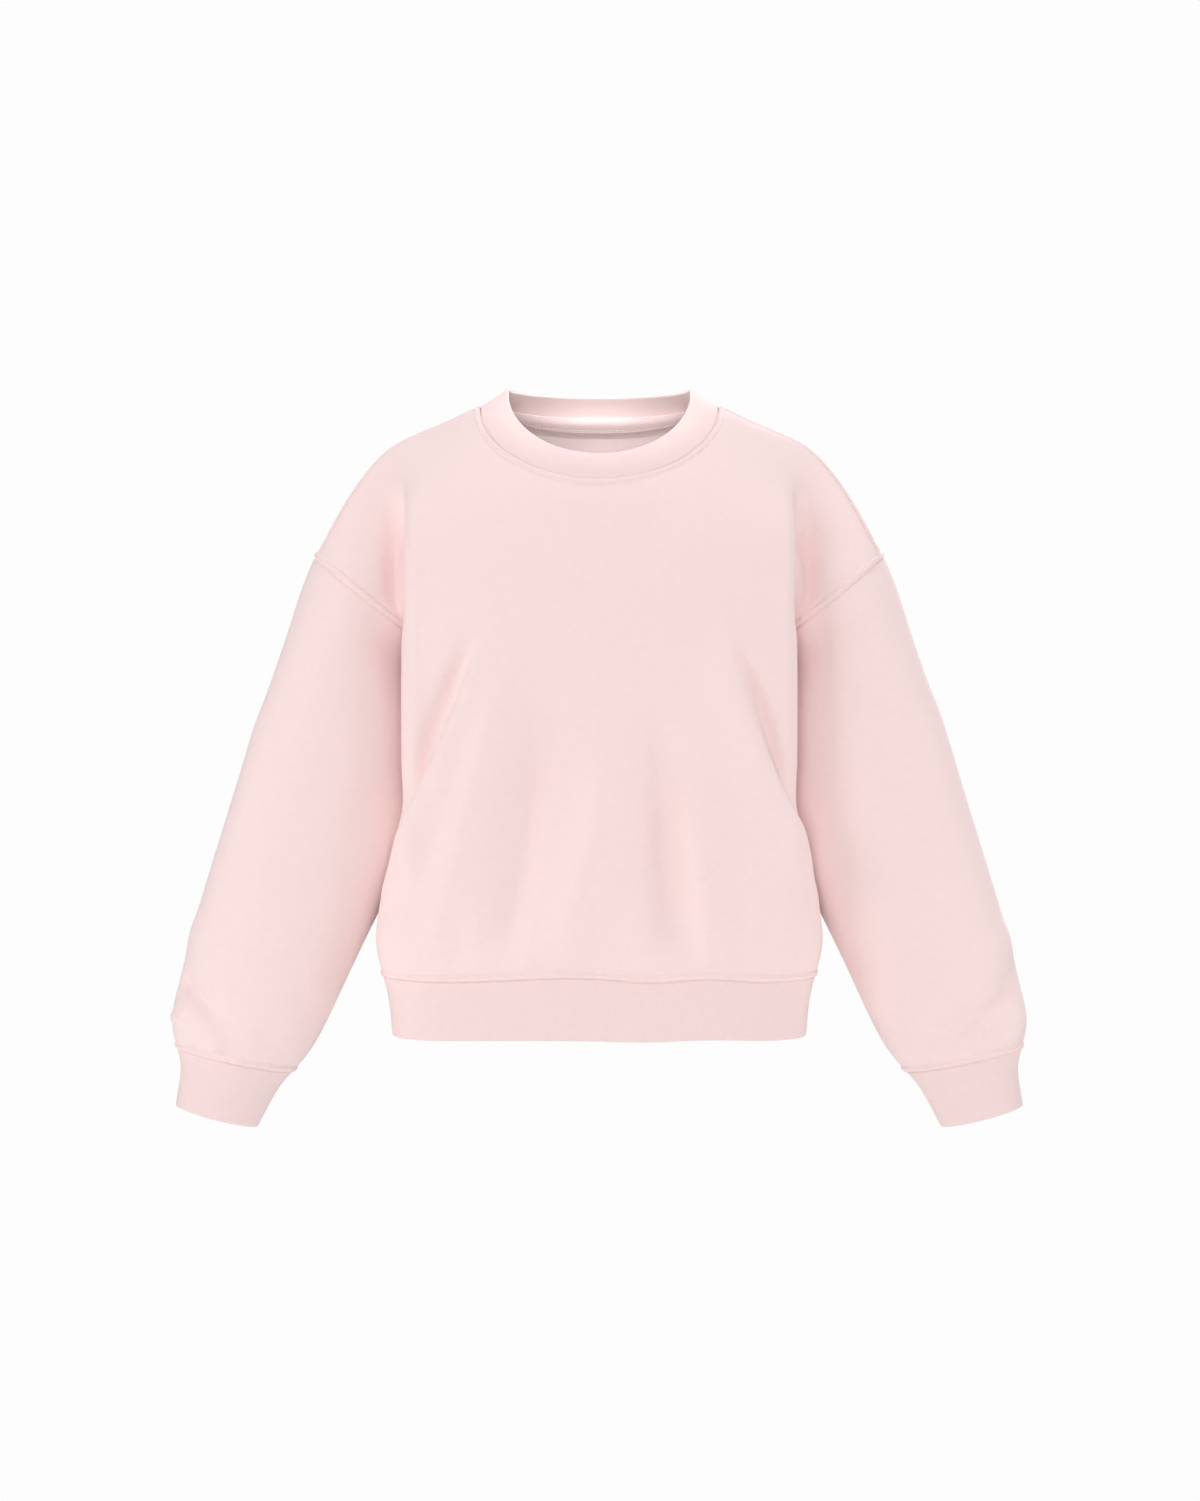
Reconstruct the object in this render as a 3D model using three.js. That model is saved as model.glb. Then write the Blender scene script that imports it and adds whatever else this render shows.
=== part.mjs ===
// A crewneck sweatshirt in brushed fleece with dropped shoulders and full sleeves, in the shape that
// it takes on a standing figure, hollow and with nobody in it.
// Sizes are millimetres. +X is to the right seen from the front, -Y is the front and +Z is up. The
// origin lies midway between the two points where the shoulder seams meet the collar.
import * as THREE from "three";

// Cloth
const FLEECE = 2.0; // wall of the front, back and sleeves
const RIB = 3.0; // wall of collar, hem band and cuffs, which are folded double
const TAPE = 1.0; // wall of the tape inside the back neck
const SEAM_GAP = 0.3; // between two pieces that a seam joins
const RIDGE = 1.2; // how far the topstitched seam allowance stands up
const RIDGE_STEPS = [0.7, 4.7, 5.7]; // from the seam: top of the ridge begins, ends, and it is flat again

// Neck
const NECK_HALF = 108; // half width of the neck seam, at the shoulder seams
const NECK_Y = 12; // the shoulder seam lies this far behind the middle
const FRONT_DROP = 72.5; // neck seam at centre front, below the shoulder point
const BACK_REACH = 50.5; // neck seam at centre back, behind the shoulder point
const NECK_POWER = 1.95; // 2 is an ellipse
const COLLAR_TOP = { half: 83, y: 8, z: 16.5, front: 78, back: 42, frontFall: 65, backFall: 2.8 };
const TAPE_HALF = 7.5; // the tape reaches this far above and below the neck seam

// Colours from the photograph
const PINK = 0xf7dcdc;
const PALE = 0xf9e4e2;

// Body, one row for each level from the folded edge of the hem band to the underarm. The side seam
// lies in a hollow behind the fold that stands beside the arm. "fold" and "side" are half widths, and
// the depths are measured from the middle plane.
const SIDE_Y = 1;
const HEM_Z = -511;
const UNDERARM_Z = -222;
const BODY_LEVELS = [
  { z: -563, fold: 184.3, side: 183.8, front: 110.5, frontFold: 24, back: 103, backFold: 24 },
  { z: -548, fold: 185.7, side: 185.2, front: 111.5, frontFold: 24, back: 104, backFold: 24 },
  { z: -532, fold: 187.5, side: 187, front: 113, frontFold: 24, back: 105, backFold: 24 },
  { z: HEM_Z, fold: 192, side: 191, front: 115, frontFold: 25, back: 107, backFold: 25 },
  { z: -487, fold: 197.5, side: 195.5, front: 119, frontFold: 30, back: 111, backFold: 28 },
  { z: -455, fold: 194.5, side: 188, front: 120.5, frontFold: 40, back: 111.5, backFold: 38 },
  { z: -425, fold: 186.5, side: 176, front: 120.5, frontFold: 48, back: 109.5, backFold: 46 },
  { z: -390, fold: 178.5, side: 164, front: 119.5, frontFold: 55, back: 107, backFold: 53 },
  { z: -340, fold: 174, side: 155, front: 118.5, frontFold: 60, back: 105, backFold: 58 },
  { z: -290, fold: 173.5, side: 151, front: 118.5, frontFold: 62, back: 106.5, backFold: 60 },
  { z: -250, fold: 173.5, side: 150.5, front: 119, frontFold: 62, back: 109, backFold: 60 },
];
const SECTION_POWER = 2.9; // roundness of a level between its middle and its fold
const PANEL_SHARES = [0, 0.357, 0.68, 0.905, 1]; // lines that run up the panel, as shares of "fold"
const HOLLOW_SHARES = [0.42, 0.75]; // lines between the fold and the side seam

// Above the underarm the cloth runs over chest and shoulder and down on to the arm. One row for each
// share of the way from underarm to shoulder seam; every line that runs up the panel has its point.
const YOKE_RISE = 240; // cloth from the underarm level to the shoulder seam
const SHOULDER = {
  rise: 1, centre: [0, 12, 21], inner: [-62, 12, 19], outer: [-125, 12, -8.5],
  brow: [-163, 11, -25.3], fold: [-187, 9, -38], crease: [-205, 5, -56], arm: [-229.5, -9, -95],
};
const FRONT_YOKE = [
  {
    rise: 0, centre: [0, -119, -222], inner: [-62, -118, -222], outer: [-118, -111.5, -222],
    brow: [-157, -97, -222], fold: [-173.5, -62, -222], crease: [-161.5, -37, -221],
    arm: [-156.5, -17, -217.5],
  },
  {
    rise: 0.17, centre: [0, -117.5, -188], inner: [-62, -116.5, -188], outer: [-118, -110, -188],
    brow: [-157, -95.5, -189], fold: [-173.5, -62, -192], crease: [-165.5, -43, -199],
    arm: [-163, -33, -205.5],
  },
  {
    rise: 0.36, centre: [0, -112, -149], inner: [-62, -111, -149], outer: [-118, -104, -150],
    brow: [-157, -88.5, -152], fold: [-173.5, -60.5, -157], crease: [-168.5, -44, -169],
    arm: [-175, -48, -184],
  },
  {
    rise: 0.55, centre: [0, -102, -111], inner: [-62, -100.5, -111], outer: [-118.5, -93, -113],
    brow: [-158, -76.5, -117], fold: [-174.5, -53, -122], crease: [-175, -42.5, -136],
    arm: [-189, -52.5, -158.5],
  },
  {
    rise: 0.74, centre: [0, -84, -70], inner: [-62, -81, -70], outer: [-120, -71, -74],
    brow: [-159.5, -53, -82], fold: [-178, -35, -90], crease: [-184, -30, -106],
    arm: [-205, -44, -134],
  },
  {
    rise: 0.88, centre: [0, -45, -28], inner: [-62, -42, -27], outer: [-122, -34, -34],
    brow: [-161.5, -24, -50], fold: [-183, -14, -61], crease: [-196, -12.5, -78],
    arm: [-219, -28, -112],
  },
  SHOULDER,
];
const BACK_YOKE = [
  {
    rise: 0, centre: [0, 111, -222], inner: [-62, 110, -222], outer: [-118, 104, -222],
    brow: [-157, 91, -222], fold: [-173.5, 60, -222], crease: [-161.5, 38, -221],
    arm: [-156.5, 19, -217.5],
  },
  {
    rise: 0.17, centre: [0, 110.5, -188], inner: [-62, 109.5, -188], outer: [-118, 104, -188],
    brow: [-157, 90, -189], fold: [-173, 62, -191], crease: [-166, 47.5, -196],
    arm: [-165, 41, -202.5],
  },
  {
    rise: 0.36, centre: [0, 108, -149], inner: [-62, 107, -149], outer: [-118, 100.5, -150],
    brow: [-157, 86, -153], fold: [-173, 65, -158], crease: [-175, 56, -168],
    arm: [-184.5, 57.5, -177],
  },
  {
    rise: 0.55, centre: [0, 102, -110], inner: [-62, 101, -110], outer: [-119, 93, -112],
    brow: [-159, 77.5, -118], fold: [-177, 61, -124], crease: [-186, 55, -134.5],
    arm: [-206, 56.5, -148],
  },
  {
    rise: 0.74, centre: [0, 91, -66], inner: [-62, 89.5, -67], outer: [-120.5, 79.5, -73],
    brow: [-161.5, 61.5, -84], fold: [-182, 48, -92], crease: [-197, 43, -103.5],
    arm: [-224, 38, -123],
  },
  {
    rise: 0.88, centre: [0, 66, -13], inner: [-62, 61, -16], outer: [-123, 50, -26],
    brow: [-163, 38, -43], fold: [-187, 27, -55], crease: [-204, 20, -70],
    arm: [-231, 8, -102],
  },
  SHOULDER,
];
const YOKE_LINES = ["centre", "inner", "outer", "brow", "fold", "crease", "arm"];

// Sleeve, one row for each ring from the armhole to the cuff seam: its outer and inner point seen
// from the front, half its depth, how far its middle lies forward, and its roundness
const SLEEVE_RINGS = [
  { outer: [-256, -137], inner: [-161, -214], depth: 60, y: 1, power: 2 },
  { outer: [-263, -153], inner: [-168, -225], depth: 60.5, y: 1, power: 2 },
  { outer: [-276.5, -193.5], inner: [-169, -260], depth: 61, y: 1, power: 2.3 },
  { outer: [-301.5, -268], inner: [-167, -328], depth: 61, y: 0, power: 2.6 },
  { outer: [-325.5, -342], inner: [-172.5, -393.5], depth: 60, y: -2, power: 2.6 },
  { outer: [-347.5, -412], inner: [-198.5, -456], depth: 59, y: -4, power: 2.5 },
  { outer: [-365.5, -474], inner: [-225, -511], depth: 57, y: -6, power: 2.4 },
  { outer: [-378, -524], inner: [-245, -554], depth: 54, y: -8, power: 2.3 },
  { outer: [-382.5, -558], inner: [-262, -583], depth: 48, y: -10, power: 2.1 },
  { outer: [-378, -577], inner: [-275, -598.5], depth: 42, y: -11, power: 2 },
];
const SHOULDER_TURN = 152.6; // degrees round the armhole, from the underarm over the front to the shoulder

// Cuff, the same, from its seam to its folded edge
const CUFF_RINGS = [
  { outer: [-378, -577], inner: [-275, -598.5], depth: 42, y: -11, power: 2 },
  { outer: [-375.5, -588.5], inner: [-282.5, -606.5], depth: 38, y: -11.5, power: 2 },
  { outer: [-375.5, -602], inner: [-290.5, -618], depth: 34.5, y: -12, power: 2 },
  { outer: [-377.5, -615.5], inner: [-298.5, -632.5], depth: 32, y: -12.5, power: 2 },
  { outer: [-379.5, -628], inner: [-306.5, -648], depth: 31, y: -13, power: 2 },
];

const LIP = { depth: 1.2, round: 0.8 }; // the folded edge of a band narrows over this depth, by this much
const HEM_DROPS = [0, 9, 28, 50.8, 52]; // rows of the hem band, below its seam
const BAND_ROWS = 4; // rows of a cuff or collar before its folded edge
const COLLAR_WIDTH = 30;
const COLLAR_SWELL = 1.5; // half way up the collar bows out at front and back, in at the sides
const CUFF_CALM = 14; // folds die away over this distance above the cuff seam
const HEM_CALM = 45; // and over this distance below the hem seam

// Large folds of the torso, as lines seen from the front: where each starts, bends and ends, its half
// width, and how far it stands out or, below zero, sinks in
const FRONT_FOLDS = [
  { from: [-96, -198], via: [-134, -302], to: [-186, -424], width: 16, height: 5.5 },
  { from: [-124, -214], via: [-150, -290], to: [-168, -352], width: 14, height: -4.5 },
  { from: [-75, -224], via: [-112, -350], to: [-152, -506], width: 20, height: 4 },
  { from: [-47, -258], via: [-61, -382], to: [-90, -506], width: 20, height: -4 },
  { from: [4, -290], via: [1, -400], to: [-36, -508], width: 26, height: 3.5 },
  { from: [50, -275], via: [56, -382], to: [64, -506], width: 21, height: -4 },
  { from: [78, -340], via: [92, -425], to: [105, -507], width: 20, height: 3.2 },
  { from: [102, -196], via: [133, -302], to: [188, -436], width: 16, height: 5.5 },
  { from: [128, -214], via: [152, -290], to: [168, -352], width: 14, height: -4.5 },
];
const BACK_FOLDS = [
  { from: [-108, -198], via: [-140, -300], to: [-184, -420], width: 17, height: 5 },
  { from: [-132, -214], via: [-152, -290], to: [-167, -350], width: 14, height: -4.2 },
  { from: [-57, -255], via: [-71, -380], to: [-97, -506], width: 24, height: -4 },
  { from: [-6, -235], via: [9, -370], to: [-5, -506], width: 31, height: 4 },
  { from: [61, -275], via: [70, -390], to: [83, -506], width: 24, height: -4 },
  { from: [104, -198], via: [138, -300], to: [181, -416], width: 17, height: 5 },
  { from: [130, -212], via: [152, -290], to: [167, -350], width: 14, height: -4.2 },
];
// Large folds of a sleeve: degrees round it (90 is its front) and millimetres above the cuff seam
const SLEEVE_FOLDS = {
  right: [
    { from: [174, 68], via: [130, 66], to: [84, 29], width: 11, height: -5.5 },
    { from: [160, 25], via: [145, 26], to: [127, 19], width: 10, height: 4.5 },
    { from: [109, 27], via: [100, 24], to: [91, 13], width: 9, height: 4.2 },
    { from: [235, 72], via: [275, 59], to: [312, 24], width: 12, height: -5 },
    { from: [260, 25], via: [280, 22], to: [298, 13], width: 10, height: 4 },
  ],
  left: [
    { from: [173, 76], via: [139, 68], to: [100, 24], width: 11, height: -5.5 },
    { from: [162, 29], via: [148, 32], to: [133, 24], width: 10, height: 4.5 },
    { from: [114, 19], via: [105, 16], to: [96, 11], width: 9, height: 4.2 },
    { from: [228, 62], via: [262, 65], to: [301, 30], width: 12, height: -5 },
    { from: [250, 26], via: [268, 24], to: [287, 15], width: 10, height: 4 },
  ],
};

// How finely the pieces are divided
const NECK_COLUMNS = 9; // from the centre to the shoulder point
const CHEST_COLUMNS = 12; // from the shoulder point to the armhole or side seam
const BODY_ROWS = 11; // from the hem seam to the underarm
const CROWDING = 0.08;
const YOKE_ROWS = 9; // from the underarm to the shoulder seam
const SLEEVE_ROWS = 13; // from the armhole to the cuff seam
const CALM = 30; // folds die away over this distance from a seam
const ARMPIT = 40; // the armhole's ridge begins this far above the underarm and is full after as much again
const FOLD_FADE = 0.25; // share of a fold's length over which each end dies away
const FOLD_STEPS = 24; // places at which the distance to a fold's line is tried
const NEXT_RING = 0.06; // share of the sleeve that a panel's curve looks ahead to, past the armhole
const FOLDED = 0.6; // pieces whose normals differ more than this cosine lie folded on each other
const SETTLE = 14;
const CORNER = 0.5; // a border that turns by more than this cosine has a corner
const PARALLEL = 0.25; // sine of the angle under which two directions count as one
const BISECTIONS = 30;

const radians = (degrees) => (degrees * Math.PI) / 180;
const mix = (a, b, t) => a + (b - a) * t;
const smooth = (t) => {
  const s = Math.min(1, Math.max(0, t));
  return s * s * (3 - 2 * s);
};
const mirror = ([x, y, z]) => [-x, y, z];
// Shares from 0 to 1 that crowd towards both ends.
const crowd = (t) => t - CROWDING * Math.sin(2 * Math.PI * t);
const bow = (x, power) => Math.sign(x) * Math.abs(x) ** (2 / power);

// A smooth curve through points at given knots, straight at its ends (a natural cubic spline).
function splineThrough(knots, points) {
  const last = knots.length - 1;
  const size = points[0].length;
  const bends = points.map(() => new Array(size).fill(0));
  const share = new Array(last + 1).fill(0);
  for (let i = 1; i < last; i++) {
    const before = knots[i] - knots[i - 1];
    const after = knots[i + 1] - knots[i];
    const pivot = 2 * (before + after) - before * share[i - 1];
    share[i] = after / pivot;
    for (let k = 0; k < size; k++) {
      const turn =
        (points[i + 1][k] - points[i][k]) / after - (points[i][k] - points[i - 1][k]) / before;
      bends[i][k] = (6 * turn - before * bends[i - 1][k]) / pivot;
    }
  }
  for (let i = last - 1; i > 0; i--)
    for (let k = 0; k < size; k++) bends[i][k] -= share[i] * bends[i + 1][k];
  return (t) => {
    let i = 0;
    while (i < last - 1 && t > knots[i + 1]) i++;
    const step = knots[i + 1] - knots[i];
    const b = (t - knots[i]) / step;
    const a = 1 - b;
    return points[i].map(
      (p, k) =>
        a * p +
        b * points[i + 1][k] +
        (((a ** 3 - a) * bends[i][k] + (b ** 3 - b) * bends[i + 1][k]) * step * step) / 6,
    );
  };
}

const distance = (p, q) => Math.hypot(p[0] - q[0], p[1] - q[1], p[2] - q[2]);

// Knots that grow with the distance from point to point.
function chordKnots(points) {
  const knots = [0];
  for (let i = 1; i < points.length; i++) knots.push(knots[i - 1] + distance(points[i - 1], points[i]));
  return knots;
}

// A point of a sleeve or cuff, "turn" degrees round it from its inner side and "along" it as a share.
function tube(rings) {
  const middles = rings.map((r) => [(r.outer[0] + r.inner[0]) / 2, r.y, (r.outer[1] + r.inner[1]) / 2]);
  const knots = chordKnots(middles);
  const length = knots.at(-1);
  const columns = rings.map((r) => [...r.outer, ...r.inner, r.depth, r.y, r.power]);
  const sizes = splineThrough(knots, columns);
  const point = (turn, along) => {
    const [outerX, outerZ, innerX, innerZ, depth, y, power] = sizes(along * length);
    const across = bow(Math.cos(radians(turn)), power);
    return [
      (outerX + innerX) / 2 + (across * (innerX - outerX)) / 2,
      y - bow(Math.sin(radians(turn)), power) * depth,
      (outerZ + innerZ) / 2 + (across * (innerZ - outerZ)) / 2,
    ];
  };
  return { point, length };
}

const sleeve = tube(SLEEVE_RINGS);
const cuff = tube(CUFF_RINGS);

// One level of the front (way -1) or back (way 1), as points on the lines that run up the panel.
function levelPoints(level, way) {
  const depth = way < 0 ? level.front : level.back;
  const foldY = way < 0 ? level.frontFold : level.backFold;
  const points = PANEL_SHARES.map((share) => [
    -share * level.fold,
    way * (foldY + (depth - foldY) * (1 - share ** SECTION_POWER) ** (1 / SECTION_POWER)),
    level.z,
  ]);
  for (const share of HOLLOW_SHARES)
    points.push([-mix(level.side, level.fold, (1 - share) ** 2), mix(way * foldY, SIDE_Y, share), level.z]);
  return points;
}

// Heights up the cloth, from the hem seam, of every level.
const UNDERARM = UNDERARM_Z - HEM_Z;
const TOP = UNDERARM + YOKE_RISE;
const LEVEL_HEIGHTS = BODY_LEVELS.map((level) => level.z - HEM_Z);
const YOKE_HEIGHTS = FRONT_YOKE.map((row) => UNDERARM + row.rise * YOKE_RISE);
const sideSeam = splineThrough(
  [...LEVEL_HEIGHTS, UNDERARM],
  [...BODY_LEVELS.map((level) => [-level.side, SIDE_Y, level.z]), sleeve.point(0, 0)],
);

// Degrees round the armhole at a height on the front or back panel.
const armholeTurn = (height, way) => {
  const share = (height - UNDERARM) / YOKE_RISE;
  return way < 0 ? SHOULDER_TURN * share : 360 - (360 - SHOULDER_TURN) * share;
};

// The left half of the front or back as a surface: row(height).at(u), with u 0 at the centre and 1 at
// the side seam or armhole. Lines beyond each edge belong to the neighbours, so that seams run smoothly.
function panelSurface(way) {
  const yoke = way < 0 ? FRONT_YOKE : BACK_YOKE;
  const beyond = (way < 0 ? BACK_YOKE : FRONT_YOKE).at(-2);
  const rows = [
    ...BODY_LEVELS.map((level) => levelPoints(level, way)),
    ...[...yoke, beyond].map((row) => YOKE_LINES.map((name) => row[name])),
  ];
  const heights = [...LEVEL_HEIGHTS, ...YOKE_HEIGHTS, TOP + (1 - beyond.rise) * YOKE_RISE];
  const lines = YOKE_LINES.map((_, k) => splineThrough(heights, rows.map((row) => row[k])));
  const neighbour = splineThrough(
    [...LEVEL_HEIGHTS, ...YOKE_HEIGHTS],
    [
      ...BODY_LEVELS.map((level) => levelPoints(level, -way).at(-1)),
      (way < 0 ? BACK_YOKE : FRONT_YOKE)[0].arm,
      ...YOKE_HEIGHTS.slice(1).map((height) => sleeve.point(armholeTurn(height, way), NEXT_RING)),
    ],
  );
  const edge = (height) =>
    height <= UNDERARM ? sideSeam(height) : sleeve.point(armholeTurn(height, way), 0);
  const row = (height) => {
    const half = lines.map((line) => line(height));
    const points = [mirror(half[2]), mirror(half[1]), ...half, edge(height), neighbour(height)];
    const knots = chordKnots(points);
    const curve = splineThrough(knots, points);
    const start = knots[2];
    const length = knots[knots.length - 2] - start;
    return { at: (u) => curve(start + u * length), length };
  };
  return { way, row };
}

// How far outside the neck hole a point lies. The front is read from the front, the back from above.
function neckDistance([x, y, z], way) {
  const across = Math.abs(x);
  const down = way < 0 ? Math.max(0, -z) : Math.max(0, y - NECK_Y);
  const reach = way < 0 ? FRONT_DROP : BACK_REACH;
  const ratio = ((across / NECK_HALF) ** NECK_POWER + (down / reach) ** NECK_POWER) ** (1 / NECK_POWER);
  return ratio < 0.1 ? -reach : (1 - 1 / ratio) * Math.hypot(across, down);
}

// The value between low and high at which a test changes from true to false.
function turningPoint(low, high, test) {
  let [from, to] = [low, high];
  for (let i = 0; i < BISECTIONS; i++) {
    const middle = (from + to) / 2;
    if (test(middle)) from = middle;
    else to = middle;
  }
  return from;
}

// Height of a fold at a place: a soft swell across its line, dying away at both ends.
function foldHeight(folds, a, b) {
  let sum = 0;
  for (const { from, via, to, width, height } of folds) {
    let nearest = Infinity;
    let place = 0;
    for (let t = 0; t <= 1; t += 1 / FOLD_STEPS) {
      const along = (k) => (1 - t) ** 2 * from[k] + 2 * t * (1 - t) * via[k] + t * t * to[k];
      const away = Math.hypot(along(0) - a, along(1) - b);
      if (away < nearest) [nearest, place] = [away, t];
    }
    const ends = smooth(place / FOLD_FADE) * smooth((1 - place) / FOLD_FADE);
    sum += height * Math.exp(-((nearest / width) ** 2)) * ends;
  }
  return sum;
}

// How high the topstitched ridge stands at a distance from the seam.
function ridge(away) {
  const [start, end, flat] = RIDGE_STEPS;
  if (away < start) return (RIDGE * Math.max(0, away)) / start;
  return away <= end ? RIDGE : RIDGE * (1 - smooth((away - end) / (flat - end)));
}

// Direction of a curve at p between its two neighbours, fair to uneven spacing.
function tangent(last, p, next) {
  const before = p.clone().sub(last);
  const after = next.clone().sub(p);
  const [a, b] = [before.lengthSq(), after.lengthSq()];
  return a === 0 ? after : b === 0 ? before : after.multiplyScalar(a).add(before.multiplyScalar(b));
}

// Unit normals of a grid of points, pointing away from the middle of each row.
function gridNormals(points, wraps) {
  let outward = 0;
  const normals = points.map((row, i) => {
    const middle = row.reduce((sum, p) => sum.add(p), new THREE.Vector3()).divideScalar(row.length);
    return row.map((p, j) => {
      const count = row.length;
      const up = points[Math.min(i + 1, points.length - 1)][j];
      const down = points[Math.max(i - 1, 0)][j];
      const next = wraps ? row[(j + 1) % count] : row[Math.min(j + 1, count - 1)];
      const last = wraps ? row[(j + count - 1) % count] : row[Math.max(j - 1, 0)];
      const across = tangent(last, p, next).normalize();
      const normal = across.clone().cross(tangent(down, p, up).normalize());
      // where the border bends away beside its own row, the column is read from below
      if (normal.length() < PARALLEL) normal.crossVectors(across, p.clone().sub(down));
      normal.normalize();
      outward += normal.dot(p.clone().sub(middle));
      return normal;
    });
  });
  if (outward < 0) normals.flat().forEach((normal) => normal.negate());
  return normals;
}

// Pieces that meet in a point share its normal, so that their walls end side by side. Where they fold
// sharply away from each other, each keeps its own.
function share(...normals) {
  const sum = new THREE.Vector3();
  normals.forEach((normal) => sum.add(normal));
  sum.normalize();
  if (normals.some((normal) => normal.dot(sum) < FOLDED)) return;
  normals.forEach((normal) => normal.copy(sum));
}

// Near a shared border the normals turn to it little by little, over SETTLE of cloth.
function settle({ normals }, i, j, borderI, borderJ, away) {
  const border = normals[borderI][borderJ];
  if (normals[i][j].dot(border) > FOLDED) normals[i][j].lerp(border, 1 - smooth(away / SETTLE)).normalize();
}

// A closed wall from a grid of outer points and normals. "raise" gives how far an outer point stands
// up, "ease" names the borders that step back from a seam, and "lip" rounds the last row.
function wall({ points, normals, wraps }, thickness, { raise = () => 0, ease = [], lip = 0 }) {
  const rows = points.length;
  const columns = points[0].length;
  const eased = points.map((row) => row.map((p) => p.clone()));
  const at = (i, j) => {
    const row = points[Math.min(rows - 1, Math.max(0, i))];
    return wraps ? row[(j + columns) % columns] : row[Math.min(columns - 1, Math.max(0, j))];
  };
  const stepBack = (i, j, toI, toJ, [alongI, alongJ]) => {
    const p = points[i][j];
    const before = p.clone().sub(at(i - alongI, j - alongJ)).normalize();
    const after = at(i + alongI, j + alongJ).clone().sub(p).normalize();
    const border = before.dot(after) < CORNER ? before : before.add(after).normalize();
    const back = points[toI][toJ].clone().sub(p);
    back.addScaledVector(border, -back.dot(border));
    eased[i][j].add(back.setLength(SEAM_GAP / 2));
  };
  for (let j = 0; j < columns; j++) {
    if (ease.includes("first")) stepBack(0, j, 1, j, [0, 1]);
    if (ease.includes("last")) stepBack(rows - 1, j, rows - 2, j, [0, 1]);
  }
  for (let i = 0; i < rows && ease.includes("sides"); i++) {
    stepBack(i, 0, i, 1, [1, 0]);
    stepBack(i, columns - 1, i, columns - 2, [1, 0]);
  }
  const skin = (height) =>
    eased.flatMap((row, i) => row.map((p, j) => p.clone().addScaledVector(normals[i][j], height(i, j))));
  const lipped = (i) => (i === rows - 1 ? lip : 0);
  const outer = skin((i, j) => raise(i, j) - lipped(i));
  const inner = skin((i) => lipped(i) - thickness);
  const positions = [...outer, ...inner].flatMap((p) => p.toArray());
  const id = (side, i, j) => (side * rows + i) * columns + (j % columns);
  const faces = [];
  const quad = (a, b, c, d, turned) => faces.push(...(turned ? [a, b, d, b, c, d] : [a, b, c, a, c, d]));
  const spans = wraps ? columns : columns - 1;
  for (let j = 0; j < spans; j++) {
    const turned = !wraps && j >= spans / 2; // the right half is cut up as the left one's mirror image
    for (let i = 0; i < rows - 1; i++) {
      quad(id(0, i, j), id(0, i, j + 1), id(0, i + 1, j + 1), id(0, i + 1, j), turned);
      quad(id(1, i, j), id(1, i + 1, j), id(1, i + 1, j + 1), id(1, i, j + 1), turned);
    }
    quad(id(1, 0, j), id(1, 0, j + 1), id(0, 0, j + 1), id(0, 0, j));
    quad(id(0, rows - 1, j), id(0, rows - 1, j + 1), id(1, rows - 1, j + 1), id(1, rows - 1, j));
  }
  for (let i = 0; i < rows - 1 && !wraps; i++) {
    quad(id(0, i, 0), id(0, i + 1, 0), id(1, i + 1, 0), id(1, i, 0));
    quad(id(1, i, spans), id(1, i + 1, spans), id(0, i + 1, spans), id(0, i, spans));
  }
  const geometry = new THREE.BufferGeometry();
  geometry.setAttribute("position", new THREE.Float32BufferAttribute(positions, 3));
  geometry.setIndex(signedVolume(positions, faces) < 0 ? faces.reverse() : faces);
  return geometry;
}

function signedVolume(positions, faces) {
  const corner = (k) => new THREE.Vector3().fromArray(positions, 3 * faces[k]);
  let sum = 0;
  for (let k = 0; k < faces.length; k += 3) sum += corner(k).dot(corner(k + 1).cross(corner(k + 2)));
  return sum / 6;
}

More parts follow.
